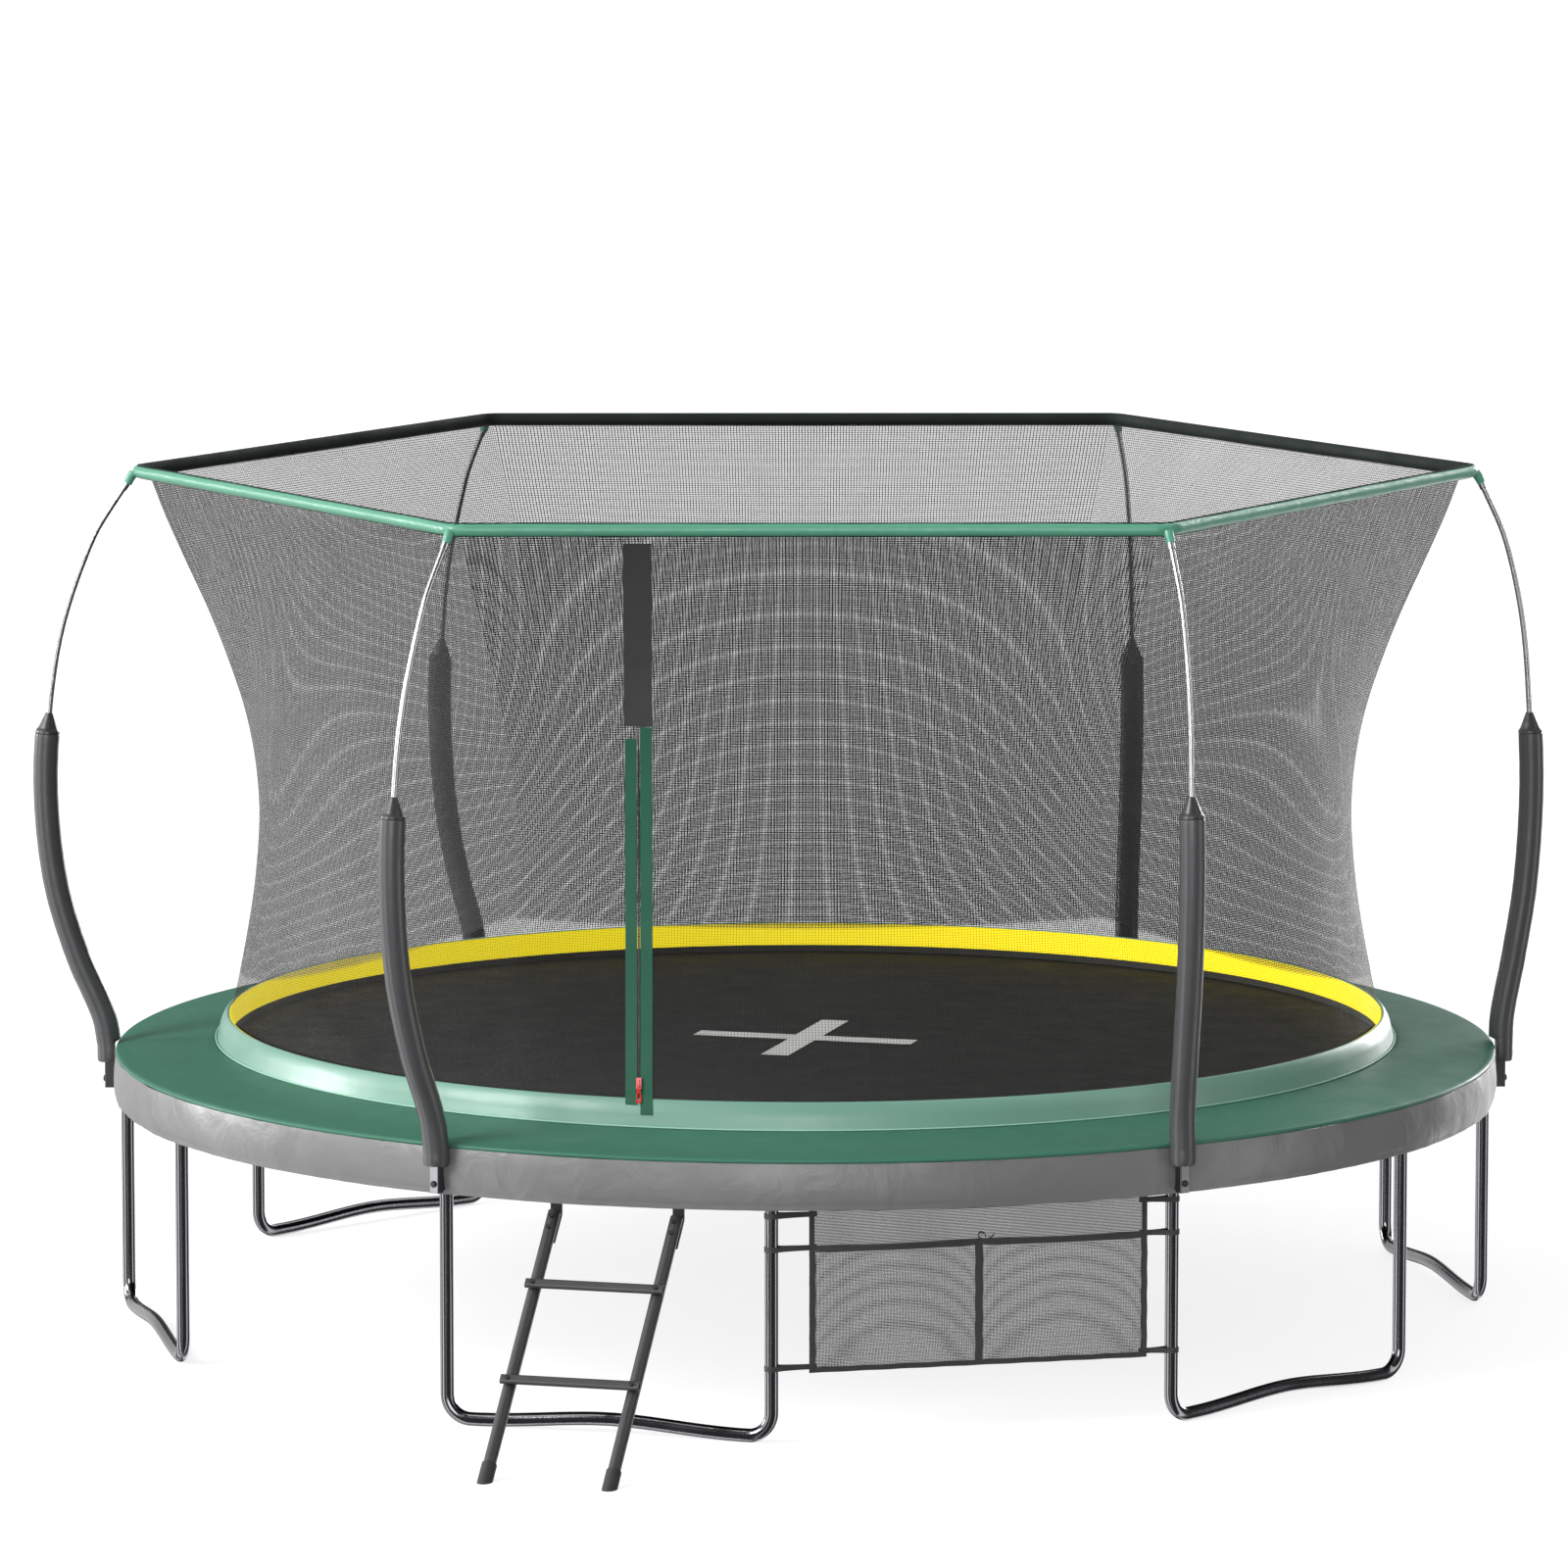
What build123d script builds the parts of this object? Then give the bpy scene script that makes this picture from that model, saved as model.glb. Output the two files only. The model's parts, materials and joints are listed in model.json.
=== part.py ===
"""Round garden trampoline with six bowed net poles, a hexagonal top ring, a zipped net,
a padded collar, a hanging ladder and a net storage bag.  Millimetres, +Z up, front at -Y."""

import os
from math import asin, atan2, cos, degrees, hypot, radians, sin, sqrt, tan

from build123d import *

# ---------------------------------------------------------------- frame
FRAME_R = 1810.0            # leg and rail circle
TUBE_R = 17.0               # legs and top rail
TUBE_WALL = 1.6
RAIL_Z = 680.0
POLE_ANGLES = [0, 60, 120, 180, 240, 300]
LEG_SPAN = 27.0             # degrees between the two uprights of one U leg
LEG_ANGLES = sorted([a for a in POLE_ANGLES] + [a + LEG_SPAN for a in POLE_ANGLES])
LEG_BEND_R = 60.0
LEG_ARCH = 20.0             # rise of the floor tube between its two corners
FIT = 0.3                   # gap between a tube and what it slides into
SOCKET_R = 20.0             # T socket outside
SOCKET_HALF = 45.0
SOCKET_FOOT_Z = 598.0
LEG_TOP_Z = 655.0
SCREW_Z = 642.0
SCREW_R = 2.6

# ---------------------------------------------------------------- pad and skirt
PAD_R_OUT = 1836.0
PAD_R_SEAM = 1568.0
PAD_Z_OUT = 718.0           # top of the pad at its outer edge
PAD_Z_SEAM = 741.0          # top of the pad at the collar
PAD_T_OUT = 14.0
PAD_T_SEAM = 8.5
COLLAR_R_IN = 1533.0
RIM_Z = 811.0
PIPING_R = 2.2
BAND_T = 1.6
BAND_Z = 746.0              # lower edge of the coloured inner band
DROP_Z = 727.4              # lower edge of the dark strip under it
SKIRT_T = 1.6
SKIRT_Z = [701.5, 680.0, 640.0, 610.0, 588.0]
SKIRT_R = [1835.0, 1838.0, 1840.5, 1838.0, 1833.0]

# ---------------------------------------------------------------- mat and springs
MAT_R = 1600.0
MAT_Z = 726.0               # jumping face
MAT_T = 2.0
EDGE_R_IN = 1556.0
EDGE_T = 3.0
SPRINGS = 72
SPRING_R = 7.0
SPRING_IN = (1622.0, 716.0)
SPRING_OUT = (1786.0, 687.0)
RING_WIRE_R = 2.0
CROSS_L = 600.0
CROSS_W = 74.0
CROSS_T = 0.8
CROSS_TURN = -16.0

# ---------------------------------------------------------------- poles
POLE_R = 11.0
POLE_WALL = 3.2
ROD_R = 7.5
POLE_FOOT_R = 1856.0        # pole axis beside the skirt
POLE_FOOT_Z = 594.0
POLE_BEND_Z = 706.0
POLE_BOW = [(706.0, 1856.0, 0.0), (790.0, 1866.0, -6.0), (950.0, 1914.0, -25.0),
            (1150.0, 1957.0, -39.0), (1400.0, 1975.0, -44.0), (1640.0, 1962.0, -41.0),
            (1860.0, 1931.0, -31.0), (2060.0, 1872.0, -17.0), (2226.0, 1784.0, -2.0)]
FOAM_R = 33.0
FOAM_FOOT_Z = 664.0
FOAM_TOP_Z = 1546.0
CAP_TOP_Z = 1600.0
CAP_TIP_R = 10.0
TUBE_TOP_Z = 1538.0
ROD_FOOT_Z = 1400.0
SOCKET_SQ = 26.0            # square socket that carries the pole
SOCKET_SQ_TOP = 696.0
BOLT_Z = 618.0
BOLT_R = 4.0

# ---------------------------------------------------------------- top ring and net
RING_R = 1773.0             # corner of the hexagon
RING_Z = 2244.0
SLEEVE_R = 17.0
SLEEVE_BORE = 9.0
RING_ROD_R = 6.0
CONNECTOR_R = 8.5
CONNECTOR_L = 70.0
CORNER_R = 60.0
NET_T = 1.4
NET_TOP_Z = 2226.0
NET_FOOT_Z = 813.0
NET_FOOT_R = 1529.0
NET_SIDE_TOP = 1522.0       # distance of the top hem from the axis, middle of a side
NET_CORNER = [(813.0, 1529.0), (881.0, 1513.0), (1080.0, 1476.0), (1210.0, 1460.0),
              (1343.0, 1453.0), (1475.0, 1463.0), (1605.0, 1488.0), (1737.0, 1530.0),
              (1867.0, 1580.0), (2000.0, 1640.0), (2130.0, 1697.0), (2226.0, 1733.0)]

# ---------------------------------------------------------------- door
DOOR_X = -426.0
DOOR_ARC_R = 2180.0         # every part of the zip lies on this arc
TAPE_T = 1.2
TAPE_INNER = 4.2            # half the gap between the two tapes
TAPE_OUTER = 34.5
DOOR_JOIN_Z = 1735.0        # green tapes below, black webbing above
ZIP_TOP_Z = 1680.0
ZIP_FOOT_Z = 826.0
CHAIN_W = 7.2
SLIDER_W = 13.0
SLIDER_L = 30.0
SLIDER_T = 5.0
PULL_L = 47.0
PULL_TILT = 33.0

# ---------------------------------------------------------------- ladder
LADDER_ANGLE = 254.5
LADDER_HALF = 157.5
LADDER_R = 16.0
LADDER_FOOT_R = 2392.0
LADDER_TOP = (1801.0, 560.0)
HOOK_BORE = 19.0
HOOK_T = 4.0
HOOK_W = 30.0
RUNG_AT = [290.0, 580.0]    # along the rail from the floor
RUNG_H = 26.0
RUNG_T = 14.0
RUNG_L = 352.0

# ---------------------------------------------------------------- storage bag
BAG_FROM = 267.0
BAG_TO = 300.0
BAG_U = (95.0, 963.0)
BAG_Z = (175.0, 640.0)
POCKET_Z = 490.0
POCKET_BULGE = 22.0
STRAP_Z = [189.0, 488.0, 572.0]

os.makedirs("parts", exist_ok=True)


def save(name, shapes):
    """Write one node."""
    solids = [s for shape in (shapes if isinstance(shapes, list) else [shapes]) for s in shape.solids()]
    export_step(Compound(solids), f"parts/{name}.step")


def polar(radius, angle, z):
    return Vector(radius * cos(radians(angle)), radius * sin(radians(angle)), z)


def turned(shape, angles):
    return [Rot(0, 0, a) * shape for a in angles]


def lathe(face, arc=360.0, start=0.0):
    """Turn a face drawn as (radius, z) about the trampoline's axis."""
    return Rot(0, 0, start) * revolve(Plane.XZ * face, Axis.Z, revolution_arc=arc)


def pipe(path, outer, inner=None):
    plane = Plane(origin=path @ 0, z_dir=path % 0)
    solid = sweep(plane * Circle(outer), path=path)
    return solid - sweep(plane * Circle(inner), path=path) if inner else solid


def rod_between(start, end, radius):
    start, end = Vector(*start), Vector(*end)
    plane = Plane(origin=start, z_dir=end - start)
    return extrude(plane * Circle(radius), (end - start).length)


def smooth(knots, at):
    """Value at `at` of a smooth curve through (at, value) knots."""
    n = len(knots)
    i = max(0, min(n - 2, sum(1 for k in knots if k[0] <= at) - 1))

    def slope(j):
        a, b = knots[max(0, j - 1)], knots[min(n - 1, j + 1)]
        return (b[1] - a[1]) / (b[0] - a[0])

    (x0, y0), (x1, y1) = knots[i], knots[i + 1]
    h, t = x1 - x0, (at - x0) / (x1 - x0)
    return ((2 * t**3 - 3 * t**2 + 1) * y0 + (t**3 - 2 * t**2 + t) * h * slope(i)
            + (3 * t**2 - 2 * t**3) * y1 + (t**3 - t**2) * h * slope(i + 1))


# ================================================================ frame
def rails():
    lap = degrees(11.0 / FRAME_R)
    ring = Pos(FRAME_R, RAIL_Z) * (Circle(TUBE_R) - Circle(TUBE_R - TUBE_WALL))
    ends = LEG_ANGLES + [LEG_ANGLES[0] + 360.0]
    return [lathe(ring, b - a - 2 * lap, a + lap) for a, b in zip(ends, ends[1:])]


def t_socket():
    half = degrees(SOCKET_HALF / FRAME_R)
    sleeve = lathe(Pos(FRAME_R, RAIL_Z) * Circle(SOCKET_R), 2 * half, -half)
    foot = Pos(FRAME_R, 0, (SOCKET_FOOT_Z + RAIL_Z) / 2) * Cylinder(SOCKET_R, RAIL_Z - SOCKET_FOOT_Z)
    bore = lathe(Pos(FRAME_R, RAIL_Z) * Circle(TUBE_R + FIT), 2 * half + 1, -half - 0.5)
    shaft = Pos(FRAME_R, 0, (SOCKET_FOOT_Z + LEG_TOP_Z) / 2 - 1) * Cylinder(
        TUBE_R + FIT, LEG_TOP_Z - SOCKET_FOOT_Z + 4)
    screw = rod_between((FRAME_R - 30, 0, SCREW_Z), (FRAME_R - 10, 0, SCREW_Z), SCREW_R + FIT)
    return sleeve + foot - bore - shaft - screw - bolt_hole()


def bolt_hole():
    return rod_between((FRAME_R - 40, 0, BOLT_Z), (POLE_FOOT_R + 30, 0, BOLT_Z), BOLT_R + FIT)


def leg(angle):
    """One U leg: two uprights joined by an arched floor tube."""
    a, b = polar(FRAME_R, angle, 0), polar(FRAME_R, angle + LEG_SPAN, 0)
    along, span = (b - a).normalized(), (b - a).length
    plane = Plane(origin=a, x_dir=along, z_dir=along.cross(Vector(0, 0, 1)))
    low = TUBE_R
    left = Line((0, LEG_TOP_Z), (0, low + LEG_BEND_R))
    turn_in = RadiusArc((0, low + LEG_BEND_R), (LEG_BEND_R, low), -LEG_BEND_R)
    floor = Spline((LEG_BEND_R, low), (span / 2, low + LEG_ARCH), (span - LEG_BEND_R, low),
                   tangents=[(1, 0), (1, 0)])
    turn_out = RadiusArc((span - LEG_BEND_R, low), (span, low + LEG_BEND_R), -LEG_BEND_R)
    right = Line((span, low + LEG_BEND_R), (span, LEG_TOP_Z))
    path = plane * Wire([left, turn_in, floor, turn_out, right])
    tube = pipe(path, TUBE_R, TUBE_R - TUBE_WALL)
    for at in (angle, angle + LEG_SPAN):
        screw = rod_between((FRAME_R - 30, 0, SCREW_Z), (FRAME_R - 10, 0, SCREW_Z), SCREW_R + FIT)
        tube -= Rot(0, 0, at) * (screw + bolt_hole() if at == angle else screw)
    return tube


def socket_screw():
    head = rod_between((FRAME_R - SOCKET_R - 4.5, 0, SCREW_Z), (FRAME_R - SOCKET_R - 0.2, 0, SCREW_Z), 5.5)
    return head + rod_between((FRAME_R - SOCKET_R - 1, 0, SCREW_Z), (FRAME_R - 11, 0, SCREW_Z), SCREW_R)


# ================================================================ poles
def pole_line(angle):
    """Centre line of one pole above its straight foot."""
    points = []
    for z, radius, lean in POLE_BOW:
        p = polar(radius, angle, z)
        points.append((p.X + lean, p.Y, z))
    end = Vector(*points[-1]) - Vector(*points[-2])
    tip = (polar(RING_R, angle, RING_Z) - Vector(*points[-1])).normalized()
    return Spline(*points, tangents=[(0, 0, 1), tuple(tip + end.normalized())])


def at_height(line, z):
    low, high = 0.0, 1.0
    for _ in range(40):
        mid = (low + high) / 2
        low, high = (mid, high) if line.position_at(mid).Z < z else (low, mid)
    return (low + high) / 2


def pole_path(line, angle, z0, z1):
    """The part of the pole's centre line between two heights."""
    if z0 >= POLE_BEND_Z:
        return Wire([line.trim(at_height(line, z0), at_height(line, z1))])
    foot = Line(polar(POLE_FOOT_R, angle, z0), polar(POLE_FOOT_R, angle, POLE_BEND_Z))
    return Wire([foot, line.trim(0.0, at_height(line, z1))])


def pole_parts(angle):
    line = pole_line(angle)
    tube = pipe(pole_path(line, angle, POLE_FOOT_Z + 2, TUBE_TOP_Z), POLE_R, POLE_R - POLE_WALL)
    tube -= Rot(0, 0, angle) * bolt_hole()
    rod = pipe(pole_path(line, angle, ROD_FOOT_Z, RING_Z - SLEEVE_R - 2.0), ROD_R)
    foam = pipe(pole_path(line, angle, FOAM_FOOT_Z, FOAM_TOP_Z), FOAM_R, POLE_R + 0.5)
    mouth = Pos(POLE_FOOT_R, 0, SOCKET_SQ_TOP - 40) * Box(SOCKET_SQ + 1, SOCKET_SQ + 1, 84)
    foam -= Rot(0, 0, angle) * mouth
    foam -= Pos(0, 0, 640) * Cylinder(SKIRT_R[2] + SKIRT_T + 0.8, 2 * (PAD_Z_OUT + 5 - 640))
    start, end = (line.position_at(at_height(line, z)) for z in (FOAM_TOP_Z, CAP_TOP_Z))
    plane = Plane(origin=start, z_dir=end - start)
    height = (end - start).length
    outline = Polyline((ROD_R + 0.7, 1.0), (FOAM_R - 0.5, 1.0), (FOAM_R - 1.5, 7), (FOAM_R - 7, 14),
                       (CAP_TIP_R + 1, height - 3), (CAP_TIP_R - 0.6, height), (ROD_R + 0.7, height),
                       close=True)
    cap = plane * revolve(Plane.XZ * make_face(outline), Axis.Z)
    return tube, rod, foam, cap


def pole_socket():
    side, wall = SOCKET_SQ, 1.7
    tall = SOCKET_SQ_TOP - POLE_FOOT_Z
    block = fillet(Box(side, side, tall).edges().filter_by(Axis.Z), 2.0)
    block -= Box(side - 2 * wall, side - 2 * wall, tall)
    return Pos(POLE_FOOT_R, 0, POLE_FOOT_Z + tall / 2) * block - bolt_hole()


def pole_spacer():
    inner, outer = FRAME_R + SOCKET_R + 0.1, POLE_FOOT_R - SOCKET_SQ / 2 - 0.1
    block = Pos((inner + outer) / 2 - 2, 0, BOLT_Z) * Box(outer - inner + 4, 22, 36)
    block -= Pos(FRAME_R, 0, BOLT_Z) * Cylinder(SOCKET_R + 0.1, 60)
    return block - bolt_hole()


def pole_bolt():
    face = POLE_FOOT_R + SOCKET_SQ / 2 + 0.1
    shank = rod_between((FRAME_R - SOCKET_R - 12, 0, BOLT_Z), (face + 1, 0, BOLT_Z), BOLT_R)
    head = rod_between((face, 0, BOLT_Z), (face + 4.5, 0, BOLT_Z), 8.5)
    return shank + chamfer(head.edges().group_by(Axis.X)[-1], 2.0)


def pole_nut():
    plane = Plane(origin=(FRAME_R - SOCKET_R - 0.2, 0, BOLT_Z), z_dir=(-1, 0, 0))
    nut = extrude(plane * RegularPolygon(7.5, 6), 6.5)
    washer = extrude(plane * Circle(8.5), 1.5)
    return nut + washer - rod_between((FRAME_R - 60, 0, BOLT_Z), (FRAME_R, 0, BOLT_Z), BOLT_R + 0.15)


# ================================================================ top ring
def ring_half_corner(radius_in):
    """Sleeve along one side of the hexagon, from corner middle to corner middle."""
    a, b = polar(RING_R, 0, RING_Z), polar(RING_R, 60, RING_Z)
    along = (b - a).normalized()
    cut = CORNER_R * tan(radians(30))
    straight = Line(a + along * cut, b - along * cut)
    inward = (Vector(0, 0, RING_Z) - (a + b) * 0.5).normalized()
    centre_a = a + along * cut + inward * CORNER_R
    centre_b = b - along * cut + inward * CORNER_R
    gap = 0.4
    mid_a = centre_a + (a - centre_a).normalized() * CORNER_R
    mid_b = centre_b + (b - centre_b).normalized() * CORNER_R
    near_a = ThreePointArc(mid_a, middle_of(centre_a, mid_a, a + along * cut), a + along * cut)
    near_b = ThreePointArc(b - along * cut, middle_of(centre_b, b - along * cut, mid_b), mid_b)
    near_a, near_b = near_a.trim(gap / near_a.length, 1.0), near_b.trim(0.0, 1 - gap / near_b.length)
    return pipe(Wire([near_a, straight, near_b]), SLEEVE_R, radius_in)


def middle_of(centre, p, q):
    m = (p + q) * 0.5 - centre
    return centre + m.normalized() * (p - centre).length


def ring_rod():
    a, b = polar(RING_R, 0, RING_Z), polar(RING_R, 60, RING_Z)
    along = (b - a).normalized()
    inset = CONNECTOR_L * 0.62
    return rod_between(tuple(a + along * inset), tuple(b - along * inset), RING_ROD_R)


def connector(angle):
    """Bent corner tube inside the sleeve that joins two side rods."""
    corner = polar(RING_R, angle, RING_Z)
    ends = [corner + polar(CONNECTOR_L, angle + turn, 0) for turn in (120, 240)]
    path = FilletPolyline(ends[0], corner, ends[1], radius=CORNER_R)
    body = pipe(path, CONNECTOR_R)
    for end in ends:
        way = (corner - end).normalized()
        body -= rod_between(tuple(end - way), tuple(end + way * (CONNECTOR_L * 0.4)), RING_ROD_R + FIT)
    return body


def sleeve_hole(angle):
    """Eyelet under each corner of the sleeve."""
    corner = polar(RING_R - 10, angle, 0)
    return Pos(corner.X, corner.Y, RING_Z - SLEEVE_R) * Cylinder(ROD_R, 2 * (SLEEVE_R - SLEEVE_BORE))


def rod_ferrule(angle, line):
    """Collar that caps the rod where it meets the ring."""
    top = line.position_at(at_height(line, RING_Z - SLEEVE_R - 2.0 - 0.05))
    start = line.position_at(at_height(line, RING_Z - SLEEVE_R - 30.0))
    way = (top - start).normalized()
    tube = rod_between(tuple(start), tuple(start + way * 27), ROD_R + 2.2)
    return tube - rod_between(tuple(start - way * 5), tuple(start + way * 60), ROD_R + 0.5)


# ================================================================ net
def arc_y(z):
    """Distance in front of the axis of the door's centre line at height z."""
    foot = sqrt(NET_FOOT_R**2 - DOOR_X**2)
    top = NET_SIDE_TOP
    chord, dz = hypot(NET_TOP_Z - NET_FOOT_Z, top - foot), NET_TOP_Z - NET_FOOT_Z
    lean = (top - foot) / dz
    deep = sqrt(DOOR_ARC_R**2 - chord**2 / 4)
    cz = (NET_TOP_Z + NET_FOOT_Z) / 2 - deep * lean * dz / chord
    cy = (top + foot) / 2 + deep * dz / chord
    return cy - sqrt(DOOR_ARC_R**2 - (z - cz)**2), (cy, cz)


def net_radius(angle, z):
    """Net radius: round at the foot and waist, six-sided at the top."""
    corner = smooth(NET_CORNER, z)
    y = arc_y(z)[0]
    share = side_share(degrees(atan2(-DOOR_X, y)))
    side = (hypot(y, DOOR_X) - corner * share) / (1 - share)
    off = (angle % 60.0) - 30.0
    return side + (corner - side) * side_share(off)


def side_share(off):
    return (1 / cos(radians(off)) - 1) / (1 / cos(radians(30)) - 1)


def strip(z_levels, section):
    """Closed strip lofted through the outlines that section(z) gives."""
    return loft([make_face(section(z)) for z in z_levels])


def net_outline(a0, a1, z, inner, outer):
    steps = 6
    angles = [a0 + (a1 - a0) * i / steps for i in range(steps + 1)]
    front = [tuple(polar(net_radius(a, z) + outer, a, z)) for a in angles]
    back = [tuple(polar(net_radius(a, z) + inner, a, z)) for a in reversed(angles)]
    curves = [Spline(*front), Line(front[-1], back[0]), Spline(*back), Line(back[-1], front[0])]
    return curves


def net_panel(k):
    a0, a1 = 60.0 * k + 0.02, 60.0 * (k + 1) - 0.02
    count = 12
    levels = [NET_FOOT_Z + (NET_TOP_Z - NET_FOOT_Z) * i / count for i in range(count + 1)]
    panel = strip(levels, lambda z: net_outline(a0, a1, z, -NET_T, 0.0))
    if k == 4:
        slot = Pos(DOOR_X, -1450, (ZIP_TOP_Z + ZIP_FOOT_Z) / 2) * Box(
            2 * TAPE_INNER, 400, ZIP_TOP_Z - ZIP_FOOT_Z)
        panel -= slot
    return panel


def angle_at(x, z):
    angle = 270.0
    for _ in range(30):
        angle = 270.0 - degrees(asin(-x / net_radius(angle, z)))
    return angle


def door_outline(x0, x1, z, inner, outer):
    pts = []
    for x, off in ((x0, outer), ((x0 + x1) / 2, outer), (x1, outer),
                   (x1, inner), ((x0 + x1) / 2, inner), (x0, inner)):
        a = angle_at(x, z)
        pts.append(tuple(polar(net_radius(a, z) + off, a, z)))
    return [Spline(*pts[:3]), Line(pts[2], pts[3]), Spline(*pts[3:]), Line(pts[5], pts[0])]


def zip_tape(x0, x1, z_top, tail):
    """Tape on the outside of the net, its end laid over the collar."""
    count = 9
    foot = NET_FOOT_Z + 14
    levels = [foot + (z_top - foot) * i / count for i in range(count + 1)]
    upper = strip(levels, lambda z: door_outline(x0, x1, z, 0.3, 0.3 + TAPE_T))
    lap = []
    for z, reach in tail:
        a0, a1 = (270.0 - degrees(asin(-x / reach)) for x in (x0, x1))
        pts = [polar(reach + TAPE_T, a0, z), polar(reach + TAPE_T, a1, z),
               polar(reach, a1, z), polar(reach, a0, z)]
        lap.append(make_face(Polyline(*[tuple(p) for p in pts], close=True)))
    joined = loft(lap, ruled=True)
    return upper + joined


def tail_to(z_end):
    """Heights and radii of a tape end that goes over the rim and down the collar."""
    start = NET_FOOT_Z + 14.0
    first = net_radius(angle_at(DOOR_X, start), start) + 0.3
    over = COLLAR_R_IN + 11.0
    steps = [(start, first), (RIM_Z + 4.0, over)]
    for z in (800.0, 785.0, 770.0):
        if z > z_end + 4:
            steps.append((z, collar_radius(z) + 1.0))
    return steps + [(z_end, collar_radius(z_end) + 1.0)]


def door_centre():
    return arc_y(1000.0)[1]


def on_arc(z, off=0.0):
    """Point on the door's centre line, moved outwards by off."""
    y, (cy, cz) = arc_y(z)
    way = Vector(0, -(cy - y), cz - z).normalized()
    return Vector(DOOR_X, -y, z) + way * off


def arc_bar(z0, z1, inner, outer, width):
    """Bar of constant section that follows the door's arc."""
    edges = [Spline(*[tuple(on_arc(z0 + (z1 - z0) * i / 12, off)) for i in range(13)])
             for off in (inner, outer)]
    ends = [Line(edges[0] @ 0, edges[1] @ 0), Line(edges[0] @ 1, edges[1] @ 1)]
    face = make_face(edges + ends)
    return Pos(-width / 2, 0, 0) * extrude(face, width, dir=(1, 0, 0))


def zip_slider():
    z0 = ZIP_FOOT_Z + 2
    body = arc_bar(z0, z0 + SLIDER_L, 4.2, 4.2 + SLIDER_T, SLIDER_W)
    body = fillet(body.edges().filter_by(Axis.X).sort_by(Axis.Y)[:2], 1.6)
    low, high = on_arc(z0 + 7, 8.5), on_arc(z0 + 23, 8.5)
    bridge = rod_between(tuple(low), tuple(on_arc(z0 + 7, 14.0)), 1.6)
    bridge += rod_between(tuple(high), tuple(on_arc(z0 + 23, 14.0)), 1.6)
    return body + bridge + rod_between(tuple(on_arc(z0 + 6, 13.2)), tuple(on_arc(z0 + 24, 13.2)), 1.6)


def pull_pivot():
    return on_arc(ZIP_FOOT_Z + 12.0, 10.4)


def zip_pull():
    """Pull tab whose crossbar passes under the slider's bridge; it rests on the collar."""
    half = 0.75
    outline = make_face(Polyline((-3.8, half), (3.8, half), (3.8, -14), (7.5, -PULL_L + 6), (5.0, -PULL_L),
                                 (-5.0, -PULL_L), (-7.5, -PULL_L + 6), (-3.8, -14), close=True))
    eye = Pos(0, -4.9) * Rectangle(4.4, 8.3)
    window = make_face(Polyline((-3.6, -PULL_L + 6), (3.6, -PULL_L + 6), (1.8, -20), (-1.8, -20), close=True))
    tab = extrude(Plane.XZ * (outline - eye - window), half, both=True)
    return Pos(*pull_pivot()) * (Rot(-PULL_TILT, 0, 0) * tab)


# ================================================================ pad, collar and skirt
def pad_top(r):
    share = (r - PAD_R_SEAM) / (PAD_R_OUT - PAD_R_SEAM)
    return PAD_Z_SEAM + (PAD_Z_OUT - PAD_Z_SEAM) * share


def frame_pad():
    inner = PAD_R_SEAM + 0.6
    low_in, low_out = PAD_Z_SEAM - PAD_T_SEAM, PAD_Z_OUT - PAD_T_OUT
    shoulder = PAD_R_OUT - 5.0
    outline = [Line((inner, low_in), (inner, PAD_Z_SEAM)),
               Spline((inner, PAD_Z_SEAM), (1640, pad_top(1640) + 2.2), (1740, pad_top(1740) + 3.0),
                      (shoulder, PAD_Z_OUT)),
               ThreePointArc((shoulder, PAD_Z_OUT), (PAD_R_OUT, PAD_Z_OUT - 5.5), (shoulder, low_out)),
               Line((shoulder, low_out), (inner, low_in))]
    return lathe(make_face(outline))


def collar_profile():
    rim = COLLAR_R_IN + 5.0
    return [(rim, RIM_Z), (1552.0, 794.0), (1561.0, 768.0), (PAD_R_SEAM - 0.8, PAD_Z_SEAM + 2)]


def collar_radius(z):
    knots = sorted((b, a) for a, b in collar_profile())
    return smooth(knots, z)


def pad_collar():
    inner, foot = COLLAR_R_IN + 0.2, PAD_Z_SEAM - PAD_T_SEAM + 1
    profile = collar_profile()
    rim, seam = profile[0], profile[-1]
    outline = [Line((inner, foot), (inner, RIM_Z - 5)),
               ThreePointArc((inner, RIM_Z - 5), (inner + 1.5, RIM_Z - 1.4), rim),
               Spline(*profile),
               Line(seam, (seam[0], foot)), Line((seam[0], foot), (inner, foot))]
    return lathe(make_face(outline))


def band(z0, z1):
    wall = Pos(COLLAR_R_IN - BAND_T / 2 - 0.2, (z0 + z1) / 2) * Rectangle(BAND_T, z1 - z0)
    return lathe(wall)


def piping():
    return lathe(Pos(PAD_R_SEAM + 1.6, PAD_Z_SEAM + PIPING_R + 0.9) * Circle(PIPING_R))


def skirt():
    outer = [(r, z) for r, z in zip(SKIRT_R, SKIRT_Z)]
    inner = [(r - SKIRT_T, z) for r, z in reversed(outer)]
    outline = [Spline(*outer), Line(outer[-1], inner[0]), Spline(*inner), Line(inner[-1], outer[0])]
    sheet = lathe(make_face(outline))
    slot = Pos(SKIRT_R[2], 0, BOLT_Z) * Box(30, 24, 38)
    for cut in turned(slot, POLE_ANGLES):
        sheet -= cut
    return sheet


# ================================================================ mat
def mat():
    return Pos(0, 0, MAT_Z - MAT_T / 2) * Cylinder(MAT_R, MAT_T)


def mat_edge():
    z = MAT_Z - MAT_T - EDGE_T / 2 - 0.05
    return lathe(Pos((EDGE_R_IN + MAT_R) / 2, z) * Rectangle(MAT_R - EDGE_R_IN, EDGE_T))


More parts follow.
